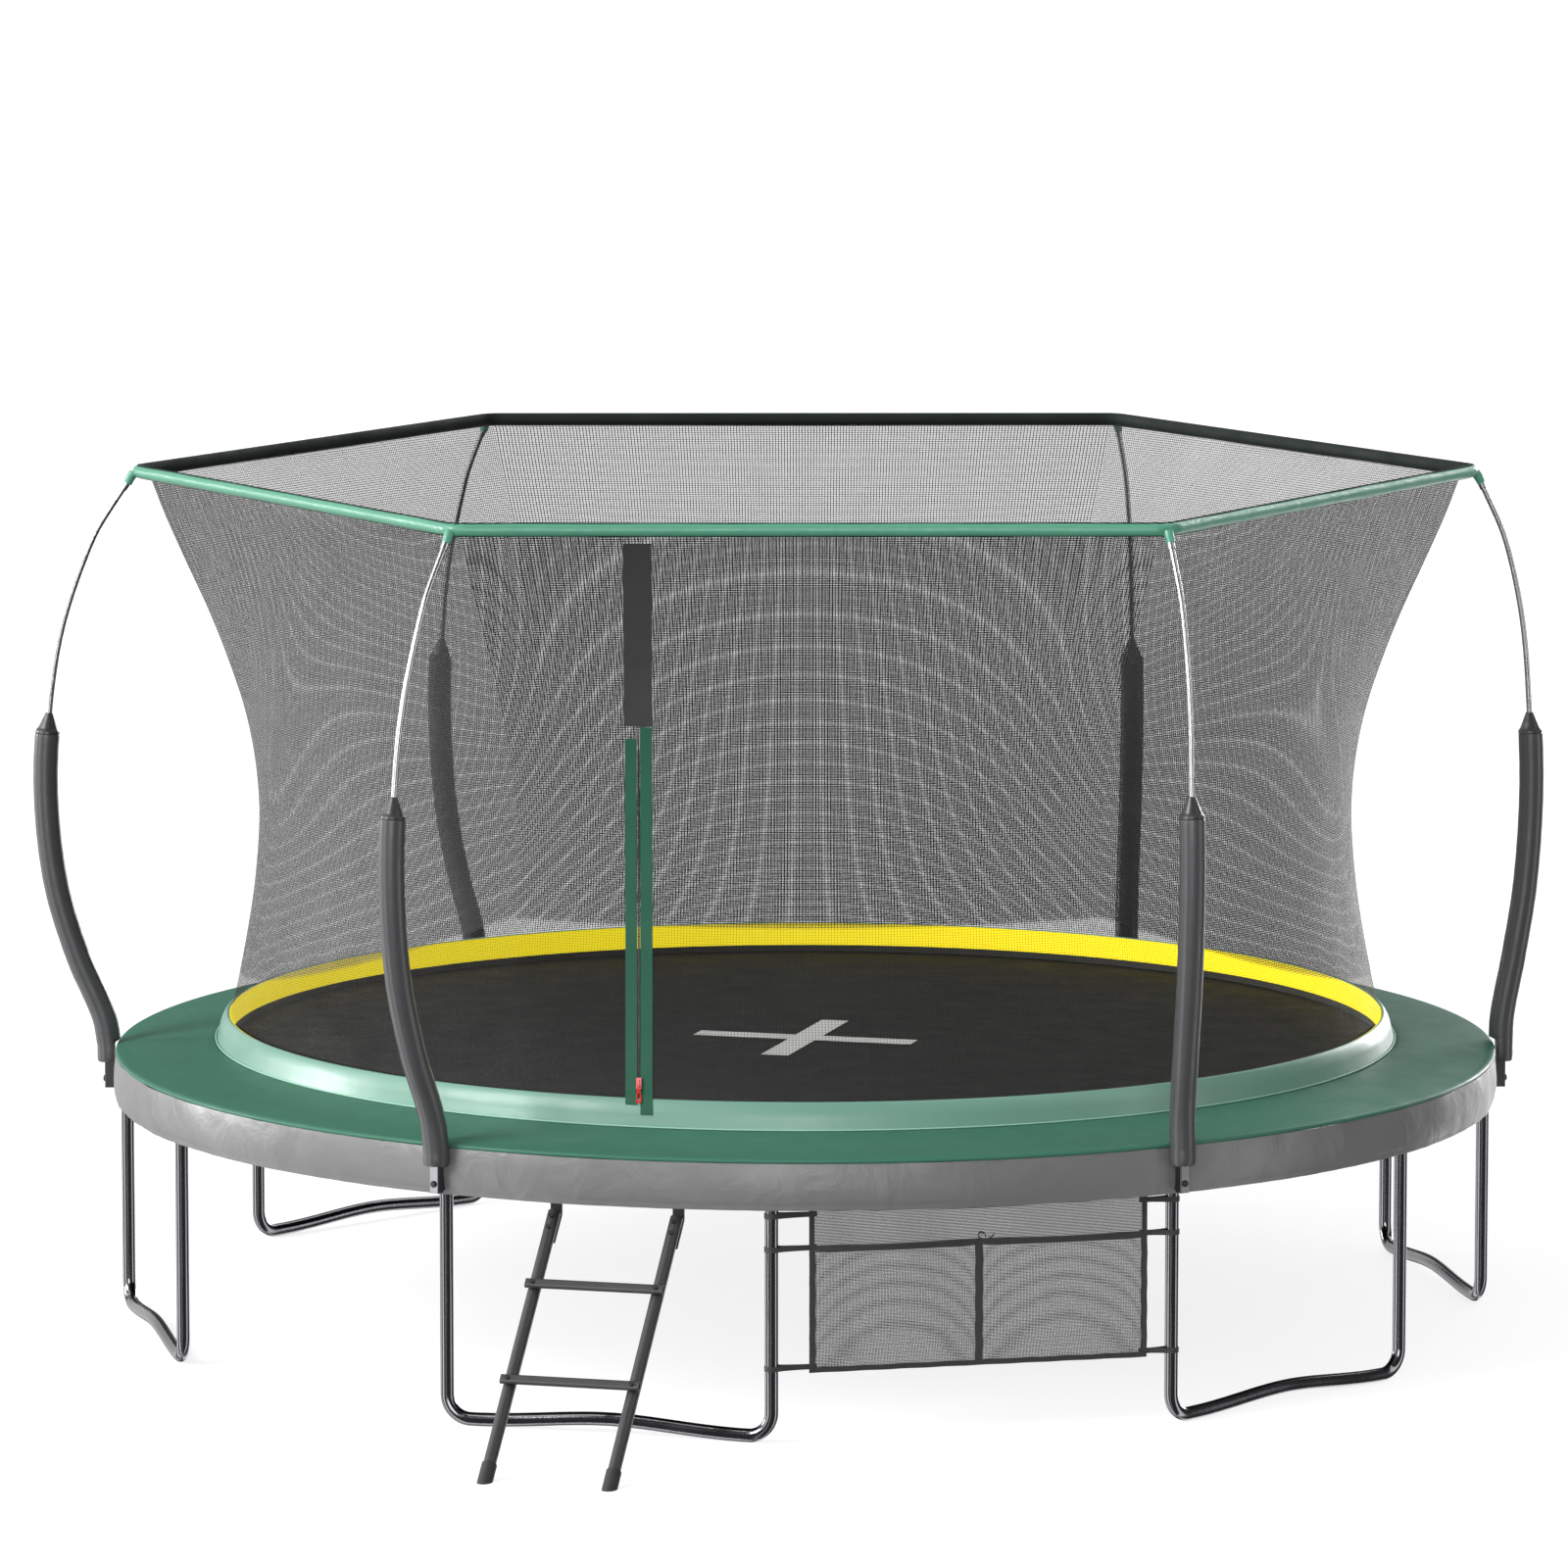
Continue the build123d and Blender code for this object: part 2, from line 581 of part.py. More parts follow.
def v_ring():
    """Closed triangle sewn under the mat's edge; its tip takes the spring."""
    z = MAT_Z - MAT_T - EDGE_T - 0.2
    back, tip = MAT_R - 16, SPRING_IN[0]
    outline = make_face(Polyline((back, -19), (back, 19), (tip, 0), close=True))
    outline = fillet(outline.vertices(), 3.0)
    wire = extrude(outline - offset(outline, amount=-2 * RING_WIRE_R), 2 * RING_WIRE_R)
    return Pos(0, 0, z - 2 * RING_WIRE_R) * wire


def spring():
    return rod_between((SPRING_IN[0] + 4, 0, SPRING_IN[1] - 1), (SPRING_OUT[0], 0, SPRING_OUT[1]), SPRING_R)


def cross_mark():
    arms = Box(CROSS_L, CROSS_W, CROSS_T) + Box(CROSS_W, CROSS_L, CROSS_T)
    return Pos(0, 0, MAT_Z + 0.05 + CROSS_T / 2) * (Rot(0, 0, CROSS_TURN) * arms)


# ================================================================ ladder
def ladder_axis():
    """Radius and height of the swing axis: the chord through both hooks."""
    return sqrt(FRAME_R**2 - LADDER_HALF**2), RAIL_Z


def ladder_way():
    dr, dz = LADDER_FOOT_R - LADDER_TOP[0], -LADDER_TOP[1]
    size = hypot(dr, dz)
    return (dr / size, dz / size), size


def ladder_point(s, off=0.0, x=0.0):
    """Point s up a rail from the floor, off outwards, in the ladder's own frame (front)."""
    (dr, dz), _ = ladder_way()
    r, z = LADDER_FOOT_R - dr * s - dz * off, -dz * s + dr * off
    return Vector(x, -r, z)


def placed(shape):
    return Rot(0, 0, LADDER_ANGLE - 270.0) * shape


def ladder_bolts_at():
    """(distance up the rail, inner end, outer end) of every through bolt."""
    length = ladder_way()[1]
    out = LADDER_R + RUNG_T + 0.4
    spots = [(s, -LADDER_R - 0.3, out) for s in RUNG_AT]
    return spots + [(length - at, -LADDER_R - HOOK_T - 0.5, LADDER_R + 0.3) for at in (22.0, 56.0)]


def ladder_drill(x, radius):
    holes = [rod_between(tuple(ladder_point(s, -40, x)), tuple(ladder_point(s, 60, x)), radius)
             for s, _, _ in ladder_bolts_at()]
    return holes


def ladder_rail(x):
    length = ladder_way()[1]
    tube = pipe(Wire([Line(ladder_point(22, 0, x), ladder_point(length, 0, x))]), LADDER_R, LADDER_R - 1.5)
    for hole in ladder_drill(x, 3.3):
        tube -= hole
    return tube


def ladder_rung(s):
    centre = ladder_point(s, LADDER_R + 0.2 + RUNG_T / 2)
    (dr, dz), _ = ladder_way()
    plane = Plane(origin=centre - Vector(RUNG_L / 2, 0, 0), x_dir=(0, -dr, dz), z_dir=(1, 0, 0))
    shell = SlotOverall(RUNG_H, RUNG_T) - SlotOverall(RUNG_H - 3, RUNG_T - 3)
    rung = extrude(plane * shell, RUNG_L)
    for x in (-LADDER_HALF, LADDER_HALF):
        for hole in ladder_drill(x, 3.3):
            rung -= hole
    return rung


def ladder_hook(x):
    """Flat bar bent over the top rail and bolted behind the ladder's rail."""
    axis_r, axis_z = ladder_axis()
    rad = HOOK_BORE + HOOK_T / 2
    length = ladder_way()[1]
    side = -(LADDER_R + 0.2 + HOOK_T / 2)
    low = ladder_point(length - 78, side)
    high = ladder_point(length + 30, side)
    slope = (low.Z - high.Z) / (low.Y - high.Y)
    down_y = -(axis_r - rad)
    corner = (down_y, high.Z + (down_y - high.Y) * slope)
    tip = (-(axis_r + rad * cos(radians(-8))), axis_z + rad * sin(radians(-8)))
    over = ThreePointArc(tip, (-axis_r, axis_z + rad), (down_y, axis_z))
    bend = FilletPolyline((down_y, axis_z), corner, (low.Y, low.Z), radius=14)
    band_2d = offset(Wire([over] + bend.edges()), amount=HOOK_T / 2, side=Side.BOTH)
    face = make_face(band_2d.edges())
    bar = extrude(Plane.YZ * face, HOOK_W / 2, both=True)
    bar = Pos(x, 0, 0) * bar
    for hole in ladder_drill(x, 3.3):
        bar -= hole
    return bar


def ladder_foot(x):
    cup = rod_between(tuple(ladder_point(-30, 0, x)), tuple(ladder_point(52, 0, x)), LADDER_R + 3)
    cup -= rod_between(tuple(ladder_point(21.7, 0, x)), tuple(ladder_point(60, 0, x)), LADDER_R + 0.2)
    return cup - Pos(x, -LADDER_FOOT_R, -100) * Box(200, 200, 200)


def ladder_bolts(x):
    bolts = []
    for s, low, high in ladder_bolts_at():
        a, b = ladder_point(s, low, x), ladder_point(s, high, x)
        way = (b - a).normalized()
        bolt = rod_between(tuple(a - way * 4), tuple(b + way * 0.5), 3.0)
        bolt += rod_between(tuple(b), tuple(b + way * 3.4), 6.0)
        bolts.append(bolt + rod_between(tuple(a - way * 4.6), tuple(a), 5.6))
    return bolts


# ================================================================ storage bag
def bag_plane(z=0.0):
    """Plane of the bag: x along the chord from the left leg, z outwards, y up."""
    a, b = polar(FRAME_R, BAG_FROM, z), polar(FRAME_R, BAG_TO, z)
    along = (b - a).normalized()
    return Plane(origin=a, x_dir=along, z_dir=along.cross(Vector(0, 0, 1))), (b - a).length


def bag_sheet(u0, u1, z0, z1, n0, n1):
    plane, _ = bag_plane()
    sheet = Pos((u0 + u1) / 2, (z0 + z1) / 2, n0) * Rectangle(u1 - u0, z1 - z0)
    return extrude(plane * sheet, n1 - n0)


def pocket_pairs():
    middle = (BAG_U[0] + BAG_U[1]) / 2
    return [(BAG_U[0] + 16.4, middle - 10.4), (middle + 10.4, BAG_U[1] - 16.4)]


def bulged(u0, u1, z0, z1, thick, gap):
    """Front of a pocket: bowed outwards in plan, standing from z0 to z1."""
    plane, _ = bag_plane()
    flat = Plane(origin=plane.origin + Vector(0, 0, z0), x_dir=plane.x_dir, z_dir=(0, 0, 1))
    deep = -POCKET_BULGE - gap
    outer = ThreePointArc((u0, -gap - thick), ((u0 + u1) / 2, deep - thick), (u1, -gap - thick))
    inner = ThreePointArc((u0, -gap), ((u0 + u1) / 2, deep), (u1, -gap))
    ends = [Line((u0, -gap - thick), (u0, -gap)), Line((u1, -gap - thick), (u1, -gap))]
    return extrude(flat * make_face([outer, inner] + ends), z1 - z0)


def bag_binding():
    left, right = BAG_U
    low, top = BAG_Z
    middle = (left + right) / 2
    strips = [bag_sheet(left, left + 16, low + 12, POCKET_Z + 4, 2.6, 4.2),
              bag_sheet(right - 16, right, low + 12, POCKET_Z + 4, 2.6, 4.2),
              bag_sheet(middle - 10, middle + 10, low + 12, POCKET_Z + 4, 2.6, 4.2),
              bag_sheet(left, right, low - 2, low + 11.5, 0.8, 3.8),
              bag_sheet(left, right, top - 14, top, 0.8, 2.4)]
    tops = [bulged(u0, u1, POCKET_Z - 14, POCKET_Z + 4, 1.4, 2.1) for u0, u1 in pocket_pairs()]
    whole = strips + tops
    return whole


def bag_strap(z, end):
    """Strap looped round one leg and sewn behind the bag's edge."""
    plane, span = bag_plane()
    centre = plane.from_local_coords(Vector(0 if end == 0 else span, z, 0))
    loop = Cylinder(TUBE_R + 1.9, 13) - Cylinder(TUBE_R + 0.4, 20)
    loop = Pos(centre.X, centre.Y, z) * loop
    u0, u1 = (TUBE_R + 1.0, BAG_U[0] + 32) if end == 0 else (BAG_U[1] - 32, span - TUBE_R - 1.0)
    return loop + bag_sheet(u0, u1, z - 6.5, z + 6.5, -2.2, -0.7)


def bag_tie():
    plane, _ = bag_plane()
    middle = (BAG_U[0] + BAG_U[1]) / 2
    spot = plane.from_local_coords(Vector(middle, POCKET_Z + 12, 10))
    turn = Plane(origin=spot, x_dir=plane.x_dir, z_dir=plane.z_dir)
    return turn * (Rot(0, 0, 20) * Torus(13, 2.4))


# ================================================================ write every node
def main():
    save("frame_rails", rails())
    save("rail_t_sockets", turned(t_socket(), LEG_ANGLES))
    save("socket_screws", turned(socket_screw(), LEG_ANGLES))
    for i, angle in enumerate(POLE_ANGLES):
        save(f"leg_u_{i + 1}", leg(angle))

    poles = [pole_parts(a) for a in POLE_ANGLES]
    save("pole_tubes", [p[0] for p in poles])
    save("pole_rods", [p[1] for p in poles])
    save("pole_foam_sleeves", [p[2] for p in poles])
    save("pole_sleeve_caps", [p[3] for p in poles])
    save("pole_sockets", turned(pole_socket(), POLE_ANGLES))
    save("pole_spacers", turned(pole_spacer(), POLE_ANGLES))
    save("pole_bolts", turned(pole_bolt(), POLE_ANGLES))
    save("pole_nuts", turned(pole_nut(), POLE_ANGLES))

    side = ring_half_corner(SLEEVE_BORE)
    for angle in (0, 60):
        side -= sleeve_hole(angle)
    save("ring_sleeve", turned(side, POLE_ANGLES))
    save("ring_rods", turned(ring_rod(), POLE_ANGLES))
    save("ring_connectors", [connector(a) for a in POLE_ANGLES])
    save("rod_ferrules", [rod_ferrule(a, pole_line(a)) for a in POLE_ANGLES])

    for k in range(6):
        save(f"net_panel_{k + 1}", net_panel(k))
    save("door_webbing", strip([DOOR_JOIN_Z + 2 + (NET_TOP_Z - 18 - DOOR_JOIN_Z) * i / 8 for i in range(9)],
                               lambda z: door_outline(DOOR_X - 36, DOOR_X + 35, z, 0.3, 0.3 + TAPE_T)))
    save("zip_tape_left", zip_tape(DOOR_X - TAPE_OUTER + 1, DOOR_X - TAPE_INNER, DOOR_JOIN_Z - 30, tail_to(796.0)))
    save("zip_tape_right", zip_tape(DOOR_X + TAPE_INNER, DOOR_X + TAPE_OUTER, DOOR_JOIN_Z, tail_to(773.0)))
    save("zip_chain", arc_bar(ZIP_FOOT_Z + 1, ZIP_TOP_Z - 1, -0.6, 3.4, CHAIN_W))
    save("zip_slider", zip_slider())
    save("zip_pull", zip_pull())

    save("frame_pad", frame_pad())
    save("pad_collar", pad_collar())
    save("pad_piping", piping())
    save("pad_inner_band", band(BAND_Z, RIM_Z - 3))
    save("pad_drop_strip", band(DROP_Z, BAND_Z - 0.3))
    save("pad_skirt", skirt())

    save("mat", mat())
    save("mat_edge_webbing", mat_edge())
    at = [360.0 / SPRINGS * (i + 0.5) for i in range(SPRINGS)]
    save("mat_v_rings", turned(v_ring(), at))
    save("springs", turned(spring(), at))
    save("mat_cross_mark", cross_mark())

    both = (-LADDER_HALF, LADDER_HALF)
    save("ladder_rails", [placed(ladder_rail(x)) for x in both])
    save("ladder_rungs", [placed(ladder_rung(s)) for s in RUNG_AT])
    save("ladder_hooks", [placed(ladder_hook(x)) for x in both])
    save("ladder_feet", [placed(ladder_foot(x)) for x in both])
    save("ladder_bolts", [placed(b) for x in both for b in ladder_bolts(x)])

    save("bag_back_mesh", bag_sheet(BAG_U[0], BAG_U[1], BAG_Z[0], BAG_Z[1], -0.5, 0.6))
    save("bag_pockets", [bulged(u0, u1, BAG_Z[0] + 12, POCKET_Z, 1.0, 1.0) for u0, u1 in pocket_pairs()])
    save("bag_binding", bag_binding())
    save("bag_straps", [bag_strap(z, end) for z in STRAP_Z for end in (0, 1)])
    save("bag_tie", bag_tie())


if __name__ == "__main__":
    main()
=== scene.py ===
"""Looks of a round garden trampoline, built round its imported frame.

Every soft piece (net, pad, collar, skirt, mat, foam, ring sleeve, zip, bag) is modelled here and stands
for its plain solid; tubes, sockets, bolts, ladder and hooks keep their own shape and get a finish.
"""

import json
import logging
import math
import random
from dataclasses import dataclass, field
from enum import Enum
from typing import Callable, Dict, List, Optional, Sequence, Tuple

import bpy
import numpy as np
from mathutils import Matrix, Vector

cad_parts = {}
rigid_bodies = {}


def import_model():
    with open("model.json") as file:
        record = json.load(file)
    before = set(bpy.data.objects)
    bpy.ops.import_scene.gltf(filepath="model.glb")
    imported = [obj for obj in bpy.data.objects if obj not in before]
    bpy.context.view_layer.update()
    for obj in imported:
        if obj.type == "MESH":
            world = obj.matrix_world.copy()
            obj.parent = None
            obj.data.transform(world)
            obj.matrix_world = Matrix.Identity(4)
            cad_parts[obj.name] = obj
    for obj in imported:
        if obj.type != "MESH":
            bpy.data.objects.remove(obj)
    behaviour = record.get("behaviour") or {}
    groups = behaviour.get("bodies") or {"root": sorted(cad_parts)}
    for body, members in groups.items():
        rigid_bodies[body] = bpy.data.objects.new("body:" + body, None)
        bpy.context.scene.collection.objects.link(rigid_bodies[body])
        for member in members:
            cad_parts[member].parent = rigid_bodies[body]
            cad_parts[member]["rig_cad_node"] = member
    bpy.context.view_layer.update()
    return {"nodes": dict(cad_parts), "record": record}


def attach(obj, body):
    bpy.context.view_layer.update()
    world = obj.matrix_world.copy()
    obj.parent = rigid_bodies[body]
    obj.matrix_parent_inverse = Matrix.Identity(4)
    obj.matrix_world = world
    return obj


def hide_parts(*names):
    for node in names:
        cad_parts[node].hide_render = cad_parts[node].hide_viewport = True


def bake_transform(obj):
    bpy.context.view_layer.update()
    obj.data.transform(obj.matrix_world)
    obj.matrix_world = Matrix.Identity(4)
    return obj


LOG = logging.getLogger("trampoline")
MM = 0.001
MERGE = 0.00002                 # points nearer than this become one
BAND = 0.31416                  # wave texture scale that gives one band in a metre
FLAT_SHARE_MIN = 0.3            # bound on the share of its square that the cross may cover, held by the assert in JumpMat.mark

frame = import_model()

Knots = Sequence[Tuple[float, float]]


# ------------------------------------------------------------------ small helpers
def linear(hex_colour: str) -> Tuple[float, float, float, float]:
    """Turn an sRGB hex colour into linear light.

    Args:
        hex_colour: six hex digits, with or without a leading hash.
    Returns:
        Linear red, green, blue and an alpha of one.
    """
    digits = hex_colour.lstrip("#")
    parts = [int(digits[i:i + 2], 16) / 255.0 for i in (0, 2, 4)]
    low = [p / 12.92 if p <= 0.04045 else ((p + 0.055) / 1.055) ** 2.4 for p in parts]
    return low[0], low[1], low[2], 1.0


def polar(radius: float, angle: float, z: float) -> Vector:
    """Point at a radius, an angle in degrees and a height."""
    a = math.radians(angle)
    return Vector((radius * math.cos(a), radius * math.sin(a), z))


def smooth(knots: Knots, at: float) -> float:
    """Value of a smooth curve through knots.

    Args:
        knots: (place, value) pairs in rising order of place.
        at: where to read the curve.
    Returns:
        The curve's value there.
    """
    n = len(knots)
    i = max(0, min(n - 2, sum(1 for k in knots if k[0] <= at) - 1))

    def slope(j: int) -> float:
        """Slope of the curve at knot j."""
        a, b = knots[max(0, j - 1)], knots[min(n - 1, j + 1)]
        return (b[1] - a[1]) / (b[0] - a[0])

    (x0, y0), (x1, y1) = knots[i], knots[i + 1]
    h, t = x1 - x0, (at - x0) / (x1 - x0)
    return ((2 * t**3 - 3 * t**2 + 1) * y0 + (t**3 - 2 * t**2 + t) * h * slope(i)
            + (3 * t**2 - 2 * t**3) * y1 + (t**3 - t**2) * h * slope(i + 1))


def steps(low: float, high: float, count: int) -> List[float]:
    """Evenly spaced values from low to high, count + 1 of them."""
    return [low + (high - low) * i / count for i in range(count + 1)]


def deselect() -> None:
    """Leave object mode clean: nothing selected, nothing active in edit mode."""
    if bpy.context.mode != "OBJECT":
        bpy.ops.object.mode_set(mode="OBJECT")
    bpy.ops.object.select_all(action="DESELECT")


def only(obj: bpy.types.Object) -> bpy.types.Object:
    """Select one object alone and make it active."""
    deselect()
    obj.select_set(True)
    bpy.context.view_layer.objects.active = obj
    return obj


def pick_none(mesh: bpy.types.Mesh) -> None:
    """Clear the selection of every face, edge and vertex."""
    for part in (mesh.polygons, mesh.edges, mesh.vertices):
        part.foreach_set("select", [False] * len(part))


def modifier(obj: bpy.types.Object, kind: str, **settings: object) -> None:
    """Add a modifier with its settings and apply it.

    Args:
        obj: the mesh object.
        kind: the modifier's type.
        settings: its properties by name.
    """
    only(obj)
    made = obj.modifiers.new(kind.lower(), kind)
    for key, value in settings.items():
        setattr(made, key, value)
    bpy.ops.object.modifier_apply(modifier=made.name)


def set_place(obj: bpy.types.Object) -> bpy.types.Object:
    """Put an object's place, turn and size into its mesh."""
    only(obj)
    bpy.ops.object.transform_apply(location=True, rotation=True, scale=True)
    return obj


def outwards(obj: bpy.types.Object) -> None:
    """Merge doubles and turn every face of a closed shape outwards."""
    only(obj)
    bpy.ops.object.mode_set(mode="EDIT")
    bpy.ops.mesh.select_all(action="SELECT")
    bpy.ops.mesh.remove_doubles(threshold=MERGE)
    bpy.ops.mesh.normals_make_consistent(inside=False)
    bpy.ops.object.mode_set(mode="OBJECT")


def soften(obj: bpy.types.Object, degrees: float = 40.0) -> None:
    """Smooth shading that keeps edges sharper than the given angle."""
    only(obj)
    bpy.ops.object.shade_smooth_by_angle(angle=math.radians(degrees))


@dataclass
class Cut:
    """Flat size of a sheet before it was hung: width, length and area in metres."""

    width: float
    length: float
    area: float


def grid(name: str, rows: Sequence[Sequence[Vector]], closed_u: bool = False, closed_v: bool = False,
         flip: bool = False) -> Tuple[bpy.types.Object, Cut]:
    """Shape a grid primitive through rows of points, with a UV map in metres.

    Args:
        name: the new object's name.
        rows: rows of points; the first index runs along V and the second along U.
        closed_u: the first and last point of each row are the same place.
        closed_v: the first and last row are the same place.
        flip: turn the faces over.
    Returns:
        The object and the cloth's flat size.
    """
    pts = np.array([[tuple(p) for p in row] for row in rows], float)
    nv, nu = pts.shape[0] - 1, pts.shape[1] - 1
    deselect()
    bpy.ops.mesh.primitive_grid_add(x_subdivisions=nu, y_subdivisions=nv, size=1.0, calc_uvs=True)
    obj = bpy.context.active_object
    obj.name = obj.data.name = name
    mesh = obj.data
    co = np.zeros(len(mesh.vertices) * 3)
    mesh.vertices.foreach_get("co", co)
    co = co.reshape(-1, 3)
    iu = np.rint((co[:, 0] + 0.5) * nu).astype(int)
    iv = np.rint((co[:, 1] + 0.5) * nv).astype(int)
    mesh.vertices.foreach_set("co", pts[iv, iu].ravel())
    du = np.linalg.norm(np.diff(pts, axis=1), axis=2)
    dv = np.linalg.norm(np.diff(pts, axis=0), axis=2)
    along_u = np.concatenate([[0.0], np.cumsum(du.mean(axis=0))])
    along_v = np.concatenate([[0.0], np.cumsum(dv.mean(axis=1))])
    loops = np.zeros(len(mesh.loops), int)
    mesh.loops.foreach_get("vertex_index", loops)
    uv = np.stack([along_u[iu[loops]], along_v[iv[loops]]], axis=1)
    mesh.uv_layers.active.data.foreach_set("uv", uv.ravel())
    mesh.update()
    area = sum(p.area for p in mesh.polygons)
    width, length = float(du.sum(axis=1).max()), float(dv.sum(axis=0).max())
    only(obj)
    bpy.ops.object.mode_set(mode="EDIT")
    bpy.ops.mesh.select_all(action="SELECT")
    if closed_u or closed_v:
        bpy.ops.mesh.remove_doubles(threshold=MERGE)
    if closed_u and closed_v:
        bpy.ops.mesh.normals_make_consistent(inside=False)
    elif flip:
        bpy.ops.mesh.flip_normals()
    bpy.ops.object.mode_set(mode="OBJECT")
    bpy.ops.object.shade_smooth()
    return obj, Cut(width, length, min(area, width * length))


def sweep(path: Sequence[Vector], section: Sequence[Tuple[float, float]], closed: bool,
          up: Optional[Vector] = None) -> List[List[Vector]]:
    """Rows of points of a section carried along a path.

    Args:
        path: the centre line; for a closed path the last point repeats the first.
        section: (sideways, upwards) offsets round the section.
        closed: the path closes on itself.
        up: the upwards direction of the section, Z if left out.
    Returns:
        One row per point of the section, each running along the path.
    """
    lift = up or Vector((0, 0, 1))
    n = len(path)
    frames = []
    for i, p in enumerate(path):
        before = path[i - 1] if i else (path[-2] if closed else p)
        after = path[i + 1] if i < n - 1 else (path[1] if closed else p)
        way = (after - before).normalized()
        side = way.cross(lift).normalized()
        frames.append((p, side, side.cross(way).normalized()))
    return [[p + side * s + top * t for p, side, top in frames] for s, t in section]


def scatter(name: str, part: bpy.types.Object, places: Sequence[Matrix]) -> bpy.types.Object:
    """Copy one modelled part to many places as a single mesh and remove the pattern.

    Args:
        name: the new object's name.
        part: the pattern, modelled at the origin.
        places: where each copy goes.
    Returns:
        The joined object.
    """
    copies = []
    for place in places:
        one = part.copy()
        one.data = part.data.copy()
        bpy.context.scene.collection.objects.link(one)
        one.data.transform(place)
        copies.append(one)
    deselect()
    for one in copies:
        one.select_set(True)
    bpy.context.view_layer.objects.active = copies[0]
    bpy.ops.object.join()
    joined = bpy.context.active_object
    joined.name = joined.data.name = name
    bpy.data.objects.remove(part)
    return joined


# ------------------------------------------------------------------ finishes
def add(tree: bpy.types.NodeTree, kind: str, settings: Optional[dict] = None,
        links: Optional[dict] = None) -> bpy.types.Node:
    """Add one shader node.

    Args:
        tree: the node tree.
        kind: the node's type.
        settings: node properties and socket values, by name or socket number.
        links: sockets that feed its inputs, by name or socket number.
    Returns:
        The new node.
    """
    node = tree.nodes.new(kind)
    for key, value in (settings or {}).items():
        if isinstance(key, str) and hasattr(node, key):
            setattr(node, key, value)
        else:
            node.inputs[key].default_value = value
    for key, source in (links or {}).items():
        tree.links.new(source, node.inputs[key])
    return node


@dataclass(frozen=True)
class Finish:
    """A solid finish: colour with soft patches, roughness that wanders, and a fine surface grain."""

    name: str
    colour: str
    shade: str
    rough: float = 0.4
    rough_span: float = 0.08
    metallic: float = 0.0
    coat: float = 0.0
    grain_mm: float = 1.5
    grain_deep: float = 0.15
    patch_mm: float = 120.0
    sheen: float = 0.0
    specular: float = 0.5
    # glow is painted light: emission in the finish's own colour, so the piece shines though it is no lamp
    glow: float = 0.0

    def start(self) -> Tuple[bpy.types.Material, bpy.types.NodeTree, bpy.types.Node]:
        """Empty material with its principled shader and output.

        Returns:
            The material, its tree and the shader.
        """
        made = bpy.data.materials.new(self.name)
        made.use_nodes = True
        tree = made.node_tree
        tree.nodes.clear()
        shader = add(tree, "ShaderNodeBsdfPrincipled", {
            "Metallic": self.metallic, "Specular IOR Level": self.specular,
            "Coat Weight": self.coat, "Coat Roughness": 0.08,
            "Sheen Weight": self.sheen, "Sheen Roughness": 0.4, "Emission Color": linear(self.colour),
            "Emission Strength": self.glow})
        add(tree, "ShaderNodeOutputMaterial", links={"Surface": shader.outputs[0]})
        return made, tree, shader

    def patches(self, tree: bpy.types.NodeTree, where: bpy.types.NodeSocket,
                shader: bpy.types.Node) -> bpy.types.Node:
        """Colour and roughness that wander slowly over the surface.

        Args:
            tree: the node tree.
            where: coordinates in metres.
            shader: the shader to feed.
        Returns:
            The colour mix node.
        """
        cloud = add(tree, "ShaderNodeTexNoise", {"Scale": 1000.0 / self.patch_mm, "Detail": 4.0},
                    {"Vector": where})
        mix = add(tree, "ShaderNodeMix", {"data_type": "RGBA", 6: linear(self.colour), 7: linear(self.shade)},
                  {0: cloud.outputs["Fac"]})
        span = add(tree, "ShaderNodeMapRange", {"From Min": 0.3, "From Max": 0.7,
                                                "To Min": self.rough - self.rough_span,
                                                "To Max": self.rough + self.rough_span},
                   {"Value": cloud.outputs["Fac"]})
        tree.links.new(mix.outputs[2], shader.inputs["Base Color"])
        tree.links.new(span.outputs[0], shader.inputs["Roughness"])
        return mix

    def build(self) -> bpy.types.Material:
        """Build the material.

        Returns:
            The new material.
        """
        made, tree, shader = self.start()
        where = add(tree, "ShaderNodeTexCoord").outputs["Object"]
        self.patches(tree, where, shader)
        grain = add(tree, "ShaderNodeTexNoise", {"Scale": 1000.0 / self.grain_mm, "Detail": 2.0},
                    {"Vector": where})
        bump = add(tree, "ShaderNodeBump", {"Strength": self.grain_deep, "Distance": 0.0006},
                   {"Height": grain.outputs["Fac"]})
        tree.links.new(bump.outputs[0], shader.inputs["Normal"])
        return made


